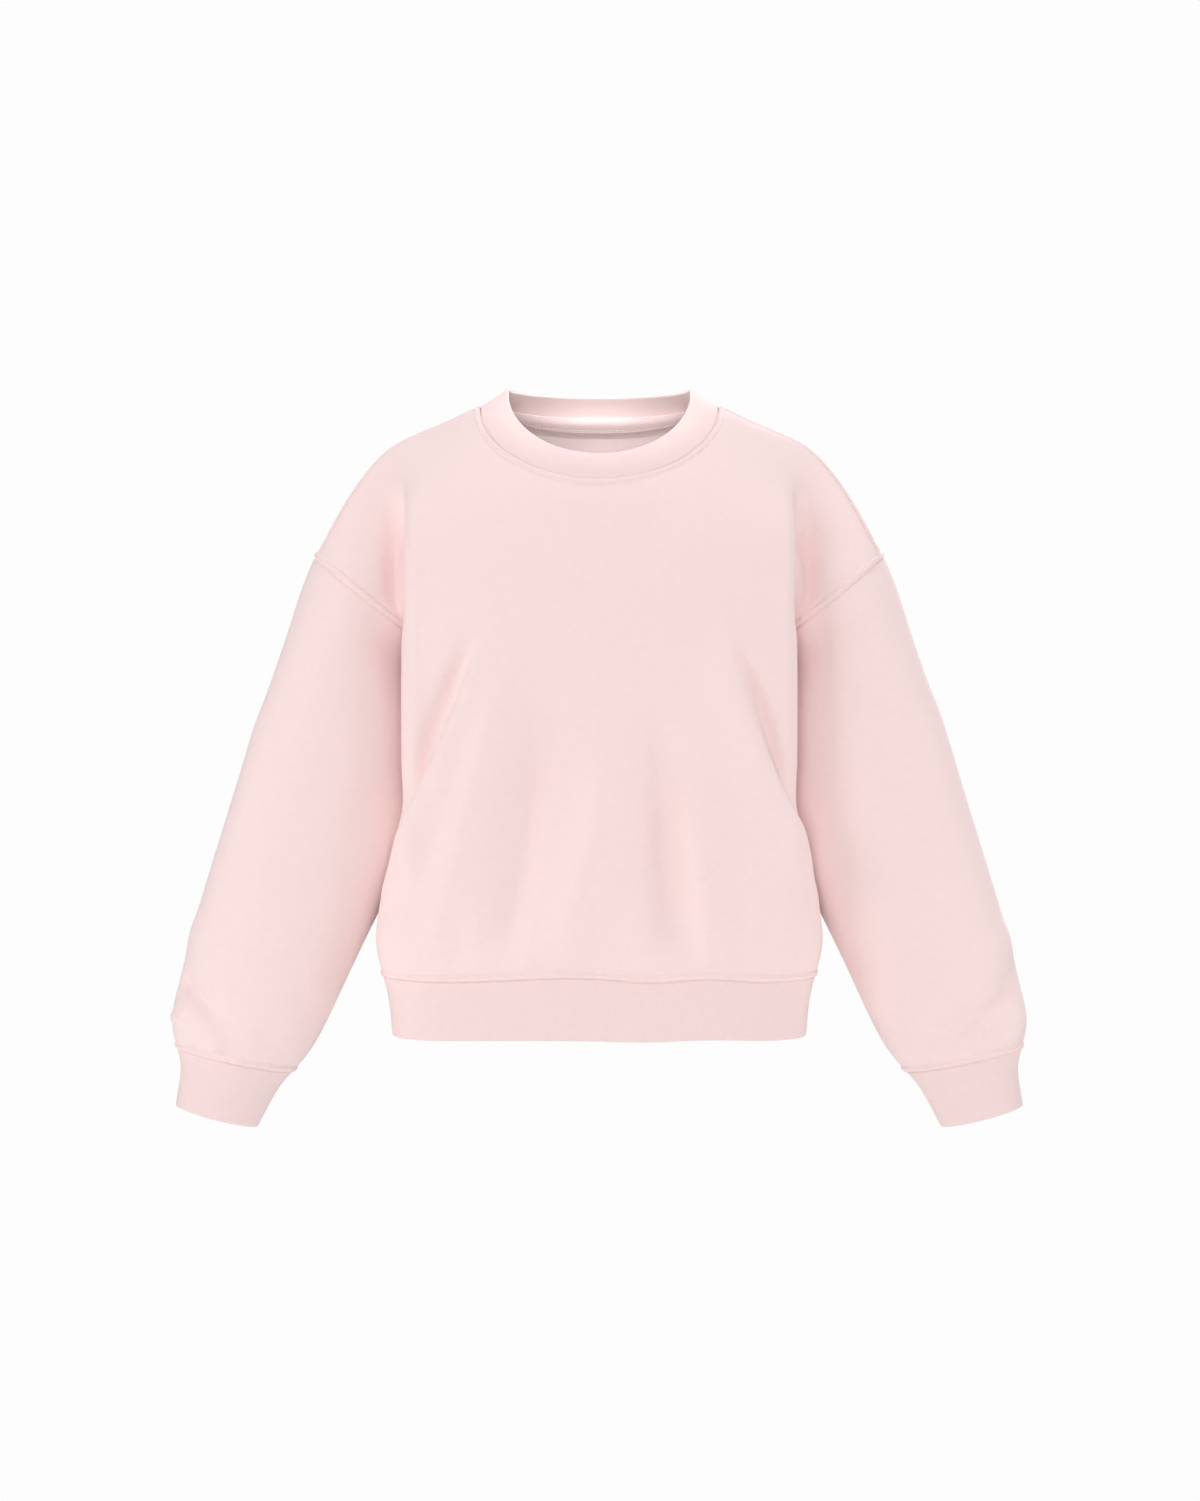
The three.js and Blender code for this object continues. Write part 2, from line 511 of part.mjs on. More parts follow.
// The front or back panel as a grid, from its left edge to its right edge and from the hem seam to
// the neck and shoulder seams.
function panelGrid(way) {
  const surface = panelSurface(way);
  const folds = way < 0 ? FRONT_FOLDS : BACK_FOLDS;
  const [ridgeStart, ridgeTop, ridgeEnd] = RIDGE_STEPS;
  const seam = surface.row(TOP);
  const corner = turningPoint(0, 1, (u) => -seam.at(u)[0] < NECK_HALF);
  const pastCorner = corner + ridgeEnd / seam.length;
  const edgeSteps = [ridgeEnd, ridgeTop, ridgeStart, 0];
  const lastColumn = NECK_COLUMNS + CHEST_COLUMNS + edgeSteps.length - 1;

  const belowNeck = (u, away) =>
    turningPoint(UNDERARM, TOP, (height) => neckDistance(surface.row(height).at(u), way) > away);
  const cornerRidges = [...edgeSteps.slice(0, -1).map((away) => belowNeck(corner, away)), TOP];

  // Columns keep their share of the row, apart from the last few, which follow the armhole's ridge.
  const shareOf = (k, length) => {
    if (k < NECK_COLUMNS) return corner * Math.sin(radians((90 * k) / (NECK_COLUMNS - 1)));
    const chest = k - NECK_COLUMNS;
    return chest < CHEST_COLUMNS
      ? mix(pastCorner, 1 - ridgeEnd / length, chest / CHEST_COLUMNS)
      : 1 - edgeSteps[chest - CHEST_COLUMNS] / length;
  };
  const column = (k) => {
    // no ridge runs along the front's shoulder seam, so its rows spread out towards the armhole
    const spread = way < 0 ? Math.max(0, (k - NECK_COLUMNS + 1) / (lastColumn - NECK_COLUMNS + 1)) : 0;
    const u = shareOf(k, seam.length);
    const at = (height) => {
      const row = surface.row(height);
      const place = shareOf(k, row.length);
      return { height, point: row.at(place), edge: (1 - place) * row.length };
    };
    const nearTop = distance(at(TOP - 1).point, at(TOP).point); // cloth for each unit of height
    const below = (away) => {
      if (k < NECK_COLUMNS - 1) return belowNeck(u, away);
      const rowsLeft = [ridgeEnd, ridgeTop, ridgeStart, 0].indexOf(away) - 3;
      const even = mix(UNDERARM, TOP, 1 + rowsLeft / (YOKE_ROWS + 3));
      const narrow = way < 0 ? cornerRidges[3 + rowsLeft] : TOP - away / nearTop;
      return mix(narrow, even, smooth(spread));
    };
    const ridges = [ridgeEnd, ridgeTop, ridgeStart, 0].map(below);
    const yokeRow = (_, i) => mix(UNDERARM, ridges[0], (i + 1) / YOKE_ROWS);
    const bodyRow = (_, i) => mix(ridgeEnd, UNDERARM, crowd((i + 1) / BODY_ROWS));
    const body = Array.from({ length: BODY_ROWS }, bodyRow);
    const yoke = Array.from({ length: YOKE_ROWS - 1 }, yokeRow);
    const heights = [0, ...RIDGE_STEPS, ...body, ...yoke, ...ridges];
    return heights.map((height) => ({ ...at(height), fromTop: (TOP - height) * nearTop }));
  };
  const half = Array.from({ length: lastColumn + 1 }, (_, k) => column(k));
  const mirrored = half.slice(1).map((places) => places.map((q) => ({ ...q, point: mirror(q.point) })));
  const all = [...half.slice().reverse(), ...mirrored];
  const places = half[0].map((_, i) => all.map((list) => list[i]));

  const smoothPoints = places.map((row) => row.map((q) => new THREE.Vector3(...q.point)));
  const softNormals = gridNormals(smoothPoints, false);
  const points = smoothPoints.map((row, i) =>
    row.map((p, j) => {
      const { height, edge, point } = places[i][j];
      const calm =
        smooth(edge / CALM) * smooth(neckDistance(point, way) / CALM) * smooth((TOP - height) / CALM);
      return p.clone().addScaledVector(softNormals[i][j], foldHeight(folds, p.x, p.z) * calm);
    }),
  );
  const raise = (i, j) => {
    const { height, edge, fromTop, point } = places[i][j];
    const shoulder = way > 0 ? ridge(fromTop) : 0;
    const armhole = ridge(edge) * smooth((height - UNDERARM - ARMPIT) / ARMPIT);
    return Math.min(
      Math.max(ridge(height), ridge(neckDistance(point, way)), shoulder, armhole),
      RIDGE * smooth(height / ridgeStart) * (i === places.length - 1 ? 0 : 1),
    );
  };
  const hemOffsets = points[0].map((p, j) => p.clone().sub(smoothPoints[0][j]));
  const hemShares = all.map((list, j) => ({
    side: j <= lastColumn ? 1 : -1,
    share: shareOf(Math.abs(j - lastColumn), surface.row(0).length),
  }));
  const armhole = half[lastColumn].filter((q) => q.height >= UNDERARM).map((q) => armholeTurn(q.height, way));
  const grid = { points, normals: gridNormals(points, false), wraps: false };
  return { ...grid, raise, surface, hemOffsets, hemShares, armhole, lastColumn };
}

// A sleeve or cuff as a grid of rings through the given turns, at the given distances along it.
function tubeGrid({ point, length }, side, turns, distances, folds = []) {
  const place = (turn, along) => {
    const p = point(turn, along / length);
    return new THREE.Vector3(...(side === "left" ? p : mirror(p)));
  };
  const base = distances.map((along) => turns.map((turn) => place(turn, along)));
  const softNormals = gridNormals(base, true);
  const points = base.map((row, i) =>
    row.map((p, j) => {
      const above = length - distances[i];
      // near the cuff a degree round the sleeve is about a millimetre
      const height = foldHeight(folds, turns[j], above) * smooth(above / CUFF_CALM);
      return p.clone().addScaledVector(softNormals[i][j], height);
    }),
  );
  return { points, normals: gridNormals(points, true), wraps: true };
}

// Distances from a band's seam to its folded edge, with a last short row for the lip.
const bandRows = (length) => [
  ...Array.from({ length: BAND_ROWS }, (_, i) => ((length - LIP.depth) * i) / (BAND_ROWS - 1)),
  length,
];

const front = panelGrid(-1);
const back = panelGrid(1);
const lastRow = front.points.length - 1;
const lastColumn = front.lastColumn;
const edges = { left: 0, right: 2 * lastColumn };
const turns = [...front.armhole, ...back.armhole.slice(1, -1).reverse()];

// A ring read from two rows: the front from left to right between two columns, then the back.
const ringOf = (frontRow, backRow, first, last) => [
  ...frontRow.slice(first, last + 1),
  ...backRow.slice(first + 1, last).reverse(),
];

// The hem band goes on down the same curves as the body.
function hemGrid() {
  const panelRow = ({ surface, hemShares, hemOffsets }, drop) => {
    const row = surface.row(-drop);
    return hemShares.map(({ side, share }, j) => {
      const p = new THREE.Vector3(...row.at(share));
      return p.setX(p.x * side).addScaledVector(hemOffsets[j], 1 - smooth(drop / HEM_CALM));
    });
  };
  const points = HEM_DROPS.map((drop) =>
    ringOf(panelRow(front, drop), panelRow(back, drop), edges.left, edges.right),
  );
  return { points, normals: gridNormals(points, true), wraps: true };
}

// The collar stands up from the neck seam to its folded edge.
const neckFirst = lastColumn - NECK_COLUMNS + 1;
const neckLast = lastColumn + NECK_COLUMNS - 1;
function collarGrid() {
  const seam = ringOf(front.points[lastRow], back.points[lastRow], neckFirst, neckLast);
  const frontCount = neckLast - neckFirst + 1;
  const { half, y, z, front: frontReach, back: backReach, frontFall, backFall } = COLLAR_TOP;
  const top = seam.map((p, j) => {
    const share = Math.min(1, Math.abs(p.x) / NECK_HALF);
    const toward = share > 1 - 1e-6 ? 0 : Math.sqrt(1 - share * share);
    const isFront = j < frontCount;
    return new THREE.Vector3(
      Math.sign(p.x) * half * share,
      y + toward * (isFront ? -frontReach : backReach),
      z - toward * (isFront ? frontFall : backFall),
    );
  });
  const shares = bandRows(COLLAR_WIDTH).map((up) => up / COLLAR_WIDTH);
  const points = shares.map((share) =>
    seam.map((p, j) => {
      const outward = new THREE.Vector3(p.x, p.y - y, 0).normalize();
      const swell = COLLAR_SWELL * (1 - 2 * (p.x / NECK_HALF) ** 4) * 4 * share * (1 - share);
      return p.clone().lerp(top[j], share).addScaledVector(outward, swell);
    }),
  );
  return { points, normals: gridNormals(points, true), wraps: true };
}

const hem = hemGrid();
const collar = collarGrid();
const [ridgeStart, ridgeTop, ridgeEnd] = RIDGE_STEPS;
const sleeveDistances = [
  ...Array.from({ length: SLEEVE_ROWS + 1 }, (_, i) => ((sleeve.length - ridgeEnd) * i) / SLEEVE_ROWS),
  ...[ridgeTop, ridgeStart, 0].map((above) => sleeve.length - above),
];
const sides = ["left", "right"];
const sleeves = sides.map((side) => tubeGrid(sleeve, side, turns, sleeveDistances, SLEEVE_FOLDS[side]));
const cuffs = sides.map((side) => tubeGrid(cuff, side, turns, bandRows(cuff.length)));

// Seams: side and shoulder, then armholes, neck, hem and cuffs.
for (const j of Object.values(edges))
  for (let i = 1; i < lastRow - front.armhole.length + 1; i++) share(front.normals[i][j], back.normals[i][j]);
for (let j = 1; j < neckFirst; j++)
  for (const column of [j, 2 * lastColumn - j])
    share(front.normals[lastRow][column], back.normals[lastRow][column]);
sides.forEach((side, s) => {
  const j = edges[side];
  turns.forEach((_, n) => {
    const onFront = n < front.armhole.length;
    const frontRow = lastRow - front.armhole.length + 1 + n;
    const backRow = n === 0 ? lastRow - back.armhole.length + 1 : lastRow - (n - front.armhole.length + 1);
    const onBack = n === 0 || n >= front.armhole.length - 1;
    share(
      ...(onFront ? [front.normals[frontRow][j]] : []),
      ...(onBack ? [back.normals[backRow][j]] : []),
      sleeves[s].normals[0][n],
    );
  });
  sleeves[s].normals.at(-1).forEach((normal, n) => share(normal, cuffs[s].normals[0][n]));
});
function shareRing(band, row, first, last) {
  const ring = ringOf(front.normals[row], back.normals[row], first, last);
  band.normals[0].forEach((normal, n) => {
    const corner = n === 0 ? first : n === last - first ? last : -1;
    share(normal, ring[n], ...(corner < 0 ? [] : [back.normals[row][corner]]));
  });
}
shareRing(hem, 0, edges.left, edges.right);
shareRing(collar, lastRow, neckFirst, neckLast);
RIDGE_STEPS.forEach((away, n) => {
  const step = n + 1;
  for (const panel of [front, back])
    for (let j = 0; j <= 2 * lastColumn; j++) {
      settle(panel, step, j, 0, j, away);
      const ridged = panel === back || (j >= neckFirst && j <= neckLast);
      if (ridged) settle(panel, lastRow - step, j, lastRow, j, away);
    }
  for (const panel of [front, back])
    for (let i = 1; i < lastRow; i++) {
      settle(panel, i, step, i, 0, away);
      settle(panel, i, 2 * lastColumn - step, i, 2 * lastColumn, away);
    }
  const lastRing = sleeveDistances.length - 1;
  for (const tube of sleeves)
    turns.forEach((_, j) => settle(tube, lastRing - step, j, lastRing, j, away));
});

// The tape covers the neck seam inside the back, from shoulder seam to shoulder seam.
function tapeGrid() {
  const columns = [];
  for (let j = neckFirst + 1; j < neckLast; j++) columns.push(j);
  const collarColumn = (j) => 2 * (neckLast - neckFirst) - (j - neckFirst);
  const ridgeRow = lastRow - RIDGE_STEPS.length;
  const rowOf = (pick) => columns.map(pick);
  const places = [
    rowOf((j) => [collar.points[1][collarColumn(j)], collar.normals[1][collarColumn(j)], RIB]),
    rowOf((j) => [back.points[lastRow][j], back.normals[lastRow][j], RIB]),
    rowOf((j) => [back.points[ridgeRow][j], back.normals[ridgeRow][j], FLEECE]),
    rowOf((j) => {
      const from = back.points[ridgeRow][j];
      const down = back.points[ridgeRow - 1][j].clone().sub(from).setLength(TAPE_HALF - ridgeEnd);
      return [from.clone().add(down), back.normals[ridgeRow][j], FLEECE];
    }),
  ];
  const points = places.map((row) =>
    row.map(([p, normal, cloth]) => p.clone().addScaledVector(normal, -cloth - SEAM_GAP)),
  );
  return { points, normals: places.map((row) => row.map(([, normal]) => normal.clone())), wraps: false };
}

const materials = {
  fleece: new THREE.MeshStandardMaterial({ color: PINK, roughness: 0.92, metalness: 0 }),
  rib: new THREE.MeshStandardMaterial({ color: PINK, roughness: 0.88, metalness: 0 }),
  tape: new THREE.MeshStandardMaterial({ color: PALE, roughness: 0.85, metalness: 0 }),
};
const cuffSeamRidge = (i) => ridge(sleeve.length - sleeveDistances[i]);
const pieces = [
  ["front", wall(front, FLEECE, { raise: front.raise, ease: ["first", "last", "sides"] }), "fleece"],
  ["back", wall(back, FLEECE, { raise: back.raise, ease: ["first", "last", "sides"] }), "fleece"],
  ["hem_band", wall(hem, RIB, { ease: ["first"], lip: LIP.round }), "rib"],
  ["collar", wall(collar, RIB, { ease: ["first"], lip: LIP.round }), "rib"],
  ["neck_tape", wall(tapeGrid(), TAPE, {}), "tape"],
];
sides.forEach((side, s) => {
  const sleeveWall = wall(sleeves[s], FLEECE, { raise: cuffSeamRidge, ease: ["first", "last"] });
  pieces.push([`sleeve_${side}`, sleeveWall, "fleece"]);
  pieces.push([`cuff_${side}`, wall(cuffs[s], RIB, { ease: ["first"], lip: LIP.round }), "rib"]);
});

const group = new THREE.Group();
for (const [name, geometry, cloth] of pieces) {
  const mesh = new THREE.Mesh(geometry, materials[cloth]);
  mesh.name = name;
  group.add(mesh);
}
export default group;
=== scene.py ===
# %% [markdown]
# A crewneck sweatshirt in pale pink fleece, filled out as on a standing figure and hollow. The packed
# model is loaded first, as a frame that nothing here moves: its solids say where each piece of cloth
# lies, and every piece made below takes the place of one of them.

# %% The frame
import math

import bpy
import numpy as np
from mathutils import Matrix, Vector


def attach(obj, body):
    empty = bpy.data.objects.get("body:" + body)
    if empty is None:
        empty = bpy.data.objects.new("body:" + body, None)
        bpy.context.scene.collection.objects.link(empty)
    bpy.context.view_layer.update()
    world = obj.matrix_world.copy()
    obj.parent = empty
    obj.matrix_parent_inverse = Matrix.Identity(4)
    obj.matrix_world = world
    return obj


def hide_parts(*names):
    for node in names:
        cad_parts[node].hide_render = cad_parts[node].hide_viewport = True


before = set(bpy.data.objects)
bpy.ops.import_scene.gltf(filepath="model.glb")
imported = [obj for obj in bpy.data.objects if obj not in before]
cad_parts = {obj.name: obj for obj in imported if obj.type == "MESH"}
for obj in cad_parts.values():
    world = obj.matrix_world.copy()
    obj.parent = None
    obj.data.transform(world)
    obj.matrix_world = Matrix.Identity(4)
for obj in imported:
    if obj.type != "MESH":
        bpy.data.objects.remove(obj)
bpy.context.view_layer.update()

bpy.ops.object.select_all(action="DESELECT")
print("solids in the frame:", sorted(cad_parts))

# %% [markdown]
# A maker thinks in millimetres, so the tables below do too, and the last step before a mesh turns them
# into metres. The fleece is 2 mm thick. Collar, cuffs and hem band are one strip each, folded double.
# On the real seams the allowance is pressed to one side and stitched down with a twin needle, which
# leaves a raised band with two rows of stitches.

# %% Cloth and seams
MM = 0.001
FLEECE = 2.0
RIB = 3.0
TAPE = 1.0
RIDGE = 1.35  # height of the topstitched band
RIDGE_RISE, RIDGE_TOP, RIDGE_FLAT = 0.8, 4.8, 5.9  # from the seam: full height, end of it, flat again
NEEDLES = (1.4, 4.2)  # the two stitch rows, from the seam
NEEDLE_DIP, NEEDLE_WIDTH = 0.3, 0.4
VALLEY, VALLEY_WIDTH = 1.15, 0.95  # the cloth turns in at a seam by this much
OUTER_DIP = 0.4  # and by this much where the band ends
SEAM_STEPS = np.array([0, 0.35, 0.7, 1.05, 1.4, 1.8, 2.8, 3.8, 4.2, 4.6, 5.2, 6.0, 7.2])
SEAM_END = SEAM_STEPS[-1]


def mix(a, b, t):
    return a + (b - a) * t


def smooth(t):
    s = np.clip(t, 0, 1)
    return s * s * (3 - 2 * s)


def unit(vectors):
    return vectors / np.maximum(np.linalg.norm(vectors, axis=-1, keepdims=True), 1e-9)


# %% [markdown]
# The garment is a set of smooth surfaces that neighbouring pieces share at their seams. They could be
# sculpted, or draped by a simulation over a body. Here they are lofted: a few measured points for each
# level of the garment, with natural cubic splines through them, so that every piece meets the next
# one exactly and the shape stays easy to correct. The class holds many splines side by side, because
# a fine grid asks for tens of thousands of them at once.

# %% Smooth curves through points
class Curves:
    """Natural cubic splines: knots (m, n) and points (m, n, k)."""

    def __init__(self, knots, points):
        self.knots, self.points = knots, points
        steps = np.diff(knots, axis=1)
        slopes = np.diff(points, axis=1) / steps[..., None]
        self.bends = np.zeros_like(points)
        share = np.zeros_like(knots)
        last = knots.shape[1] - 1
        for i in range(1, last):
            before, after = steps[:, i - 1], steps[:, i]
            pivot = 2 * (before + after) - before * share[:, i - 1]
            share[:, i] = after / pivot
            turn = 6 * (slopes[:, i] - slopes[:, i - 1])
            self.bends[:, i] = (turn - before[:, None] * self.bends[:, i - 1]) / pivot[:, None]
        for i in range(last - 1, 0, -1):
            self.bends[:, i] -= share[:, i, None] * self.bends[:, i + 1]

    def at(self, t):
        """The points at t (m, q)."""
        i = (t[:, :, None] > self.knots[:, None, 1:-1]).sum(axis=2)
        row = np.arange(len(t))[:, None]
        low, high = self.knots[row, i], self.knots[row, i + 1]
        step = (high - low)[..., None]
        b = (t - low)[..., None] / step
        a = 1 - b
        bent = (a**3 - a) * self.bends[row, i] + (b**3 - b) * self.bends[row, i + 1]
        return a * self.points[row, i] + b * self.points[row, i + 1] + bent * step**2 / 6


def chord_knots(points):
    """Knots that grow with the distance from point to point, along the last but one axis."""
    gaps = np.linalg.norm(np.diff(points, axis=-2), axis=-1)
    return np.concatenate([np.zeros(gaps.shape[:-1] + (1,)), np.cumsum(gaps, axis=-1)], axis=-1)


# %% [markdown]
# Sleeves and cuffs are tubes. Each row of their tables is a ring, given as its outer and inner point
# seen from the front, half its depth, how far its middle lies forward, and its roundness. The left
# sleeve is described, and the right one is its mirror image with folds of its own.

# %% Sleeves and cuffs as tubes
SLEEVE_RINGS = [  # outer x, z, inner x, z, half depth, y, power
    (-256, -137, -161, -214, 60, 1, 2),
    (-263, -153, -168, -225, 60.5, 1, 2),
    (-276.5, -193.5, -169, -260, 61, 1, 2.3),
    (-301.5, -268, -167, -328, 61, 0, 2.6),
    (-325.5, -342, -172.5, -393.5, 60, -2, 2.6),
    (-347.5, -412, -198.5, -456, 59, -4, 2.5),
    (-365.5, -474, -225, -511, 57, -6, 2.4),
    (-378, -524, -245, -554, 54, -8, 2.3),
    (-382.5, -558, -262, -583, 48, -10, 2.1),
    (-378, -577, -275, -598.5, 42, -11, 2),
]
CUFF_RINGS = [
    (-378, -577, -275, -598.5, 42, -11, 2),
    (-375.5, -588.5, -282.5, -606.5, 38, -11.5, 2),
    (-375.5, -602, -290.5, -618, 34.5, -12, 2),
    (-377.5, -615.5, -298.5, -632.5, 32, -12.5, 2),
    (-379.5, -628, -306.5, -648, 31, -13, 2),
]
SHOULDER_TURN = 152.6  # degrees round the armhole, from the underarm over the front to the shoulder seam
NEXT_RING = 0.06


def bow(x, power):
    return np.sign(x) * np.abs(x) ** (2 / power)


class Tube:
    def __init__(self, rings):
        rings = np.array(rings, float)
        outer, inner = rings[:, 0:2], rings[:, 2:4]
        middles = np.insert((outer + inner) / 2, 1, rings[:, 5], axis=1)
        knots = chord_knots(middles[None])
        self.length = knots[0, -1]
        self.sizes = Curves(knots, rings[None])

    def at(self, turn, along):
        """Points "turn" degrees round from the inner side, at "along" as a share of the length."""
        turn, along = np.broadcast_arrays(turn, along)
        sizes = self.sizes.at(along.reshape(1, -1) * self.length)[0]
        outer_x, outer_z, inner_x, inner_z, depth, y, power = sizes.T
        angle = np.radians(turn.ravel())
        across, ahead = bow(np.cos(angle), power), bow(np.sin(angle), power)
        x = (outer_x + inner_x) / 2 + across * (inner_x - outer_x) / 2
        z = (outer_z + inner_z) / 2 + across * (inner_z - outer_z) / 2
        return np.stack([x, y - ahead * depth, z], axis=1).reshape(turn.shape + (3,))


sleeve = Tube(SLEEVE_RINGS)
cuff = Tube(CUFF_RINGS)
print(f"sleeve {sleeve.length:.0f} mm, cuff {cuff.length:.0f} mm long")

# %% [markdown]
# The body goes in levels from the folded edge of the hem band to the underarm. Beside each arm the
# cloth stands in a fold, and the side seam lies in the hollow behind it. Above the underarm the front
# and the back each run over chest or shoulder blade and out on to the arm, down to the dropped seam
# of the sleeve, so seven lines carry them: centre, inner, outer, brow, fold, crease and arm.

# %% The body's measurements
SIDE_Y = 1
HEM_Z, UNDERARM_Z = -511, -222
YOKE_RISE = 240
BODY_LEVELS = np.array([  # z, fold, side, front, front fold, back, back fold
    (-563, 184.3, 183.8, 110.5, 24, 103, 24),
    (-548, 185.7, 185.2, 111.5, 24, 104, 24),
    (-532, 187.5, 187, 113, 24, 105, 24),
    (HEM_Z, 192, 191, 115, 25, 107, 25),
    (-487, 197.5, 195.5, 119, 30, 111, 28),
    (-455, 194.5, 188, 120.5, 40, 111.5, 38),
    (-425, 186.5, 176, 120.5, 48, 109.5, 46),
    (-390, 178.5, 164, 119.5, 55, 107, 53),
    (-340, 174, 155, 118.5, 60, 105, 58),
    (-290, 173.5, 151, 118.5, 62, 106.5, 60),
    (-250, 173.5, 150.5, 119, 62, 109, 60),
])
SECTION_POWER = 2.9
PANEL_SHARES = [0, 0.357, 0.68, 0.905, 1]
HOLLOW_SHARES = [0.42, 0.75]
RISES = np.array([0, 0.17, 0.36, 0.55, 0.74, 0.88, 1])
SHOULDER = [(0, 12, 21), (-62, 12, 19), (-125, 12, -8.5), (-163, 11, -25.3), (-187, 9, -38),
            (-205, 5, -56), (-229.5, -9, -95)]
FRONT_YOKE = [
    [(0, -119, -222), (-62, -118, -222), (-118, -111.5, -222), (-157, -97, -222), (-173.5, -62, -222),
     (-161.5, -37, -221), (-156.5, -17, -217.5)],
    [(0, -117.5, -188), (-62, -116.5, -188), (-118, -110, -188), (-157, -95.5, -189), (-173.5, -62, -192),
     (-165.5, -43, -199), (-163, -33, -205.5)],
    [(0, -112, -149), (-62, -111, -149), (-118, -104, -150), (-157, -88.5, -152), (-173.5, -60.5, -157),
     (-168.5, -44, -169), (-175, -48, -184)],
    [(0, -102, -111), (-62, -100.5, -111), (-118.5, -93, -113), (-158, -76.5, -117), (-174.5, -53, -122),
     (-175, -42.5, -136), (-189, -52.5, -158.5)],
    [(0, -84, -70), (-62, -81, -70), (-120, -71, -74), (-159.5, -53, -82), (-178, -35, -90),
     (-184, -30, -106), (-205, -44, -134)],
    [(0, -45, -28), (-62, -42, -27), (-122, -34, -34), (-161.5, -24, -50), (-183, -14, -61),
     (-196, -12.5, -78), (-219, -28, -112)],
    SHOULDER,
]
BACK_YOKE = [
    [(0, 111, -222), (-62, 110, -222), (-118, 104, -222), (-157, 91, -222), (-173.5, 60, -222),
     (-161.5, 38, -221), (-156.5, 19, -217.5)],
    [(0, 110.5, -188), (-62, 109.5, -188), (-118, 104, -188), (-157, 90, -189), (-173, 62, -191),
     (-166, 47.5, -196), (-165, 41, -202.5)],
    [(0, 108, -149), (-62, 107, -149), (-118, 100.5, -150), (-157, 86, -153), (-173, 65, -158),
     (-175, 56, -168), (-184.5, 57.5, -177)],
    [(0, 102, -110), (-62, 101, -110), (-119, 93, -112), (-159, 77.5, -118), (-177, 61, -124),
     (-186, 55, -134.5), (-206, 56.5, -148)],
    [(0, 91, -66), (-62, 89.5, -67), (-120.5, 79.5, -73), (-161.5, 61.5, -84), (-182, 48, -92),
     (-197, 43, -103.5), (-224, 38, -123)],
    [(0, 66, -13), (-62, 61, -16), (-123, 50, -26), (-163, 38, -43), (-187, 27, -55),
     (-204, 20, -70), (-231, 8, -102)],
    SHOULDER,
]
LEVEL_HEIGHTS = BODY_LEVELS[:, 0] - HEM_Z
UNDERARM = UNDERARM_Z - HEM_Z
TOP = UNDERARM + YOKE_RISE
YOKE_HEIGHTS = UNDERARM + RISES * YOKE_RISE


def level_points(level, way):
    """One level of the front (way -1) or back (way 1), on the seven lines."""
    z, fold, side, *depths = level
    depth, fold_y = depths[0:2] if way < 0 else depths[2:4]
    points = []
    for share in PANEL_SHARES:
        round_off = (1 - share**SECTION_POWER) ** (1 / SECTION_POWER)
        points.append((-share * fold, way * mix(fold_y, depth, round_off), z))
    for share in HOLLOW_SHARES:
        points.append((-mix(side, fold, (1 - share) ** 2), mix(way * fold_y, SIDE_Y, share), z))
    return points


def armhole_turn(height, way):
    share = (height - UNDERARM) / YOKE_RISE
    return SHOULDER_TURN * share if way < 0 else 360 - (360 - SHOULDER_TURN) * share


side_points = [(-level[2], SIDE_Y, level[0]) for level in BODY_LEVELS]
side_points.append(sleeve.at(0.0, 0.0))
side_seam = Curves(np.append(LEVEL_HEIGHTS, UNDERARM)[None], np.array(side_points, float)[None])
MIRROR = np.array([-1, 1, 1])


class Panel:
    """The left half of the front or back as a surface over height and share of the way to its edge."""

    def __init__(self, way):
        self.way = way
        yoke, other = (FRONT_YOKE, BACK_YOKE) if way < 0 else (BACK_YOKE, FRONT_YOKE)
        rows = np.array([level_points(level, way) for level in BODY_LEVELS] + yoke + [other[-2]], float)
        over_seam = TOP + (1 - RISES[-2]) * YOKE_RISE
        heights = np.concatenate([LEVEL_HEIGHTS, YOKE_HEIGHTS, [over_seam]])
        self.lines = Curves(heights[None], rows.reshape(1, len(rows), -1))
        beyond = [level_points(level, -way)[-1] for level in BODY_LEVELS] + [other[0][-1]]
        beyond += list(sleeve.at(armhole_turn(YOKE_HEIGHTS[1:], way), NEXT_RING))
        self.beyond = Curves(heights[None, :-1], np.array(beyond, float)[None])

    def at(self, height, share, away=0.0):
        """Points at a share of the row's length less "away" millimetres, and the rows' lengths."""
        half = self.lines.at(height[None])[0].reshape(len(height), -1, 3)
        arm = sleeve.at(armhole_turn(np.maximum(height, UNDERARM), self.way), 0.0)
        edge = np.where(height[:, None] <= UNDERARM, side_seam.at(height[None])[0], arm)
        beyond = self.beyond.at(height[None])[0]
        points = np.concatenate(
            [half[:, 2:3] * MIRROR, half[:, 1:2] * MIRROR, half, edge[:, None], beyond[:, None]], axis=1
        )
        knots = chord_knots(points)
        start, length = knots[:, 2], knots[:, -2] - knots[:, 2]
        place = start + share * length - away
        return Curves(knots, points).at(place[:, None])[:, 0], length


front, back = Panel(-1), Panel(1)
print(f"from hem seam to shoulder seam {TOP:.0f} mm of cloth")

# %% [markdown]
# The neck hole is an ellipse, lower at the front. Rows of the grid run round it and columns end in it,
# as they do in a dressmaker's muslin. The rows and columns crowd beside each seam, where the raised
# band and its two stitch rows need them, and spread evenly elsewhere.

# %% The neck hole, and where rows and columns lie
NECK_HALF, NECK_Y, FRONT_DROP, BACK_REACH, NECK_POWER = 108, 12, 72.5, 50.5, 1.95
NECK_COLUMNS, CHEST_COLUMNS = 40, 50
BODY_ROWS, YOKE_ROWS = 88, 72
BISECTIONS = 30


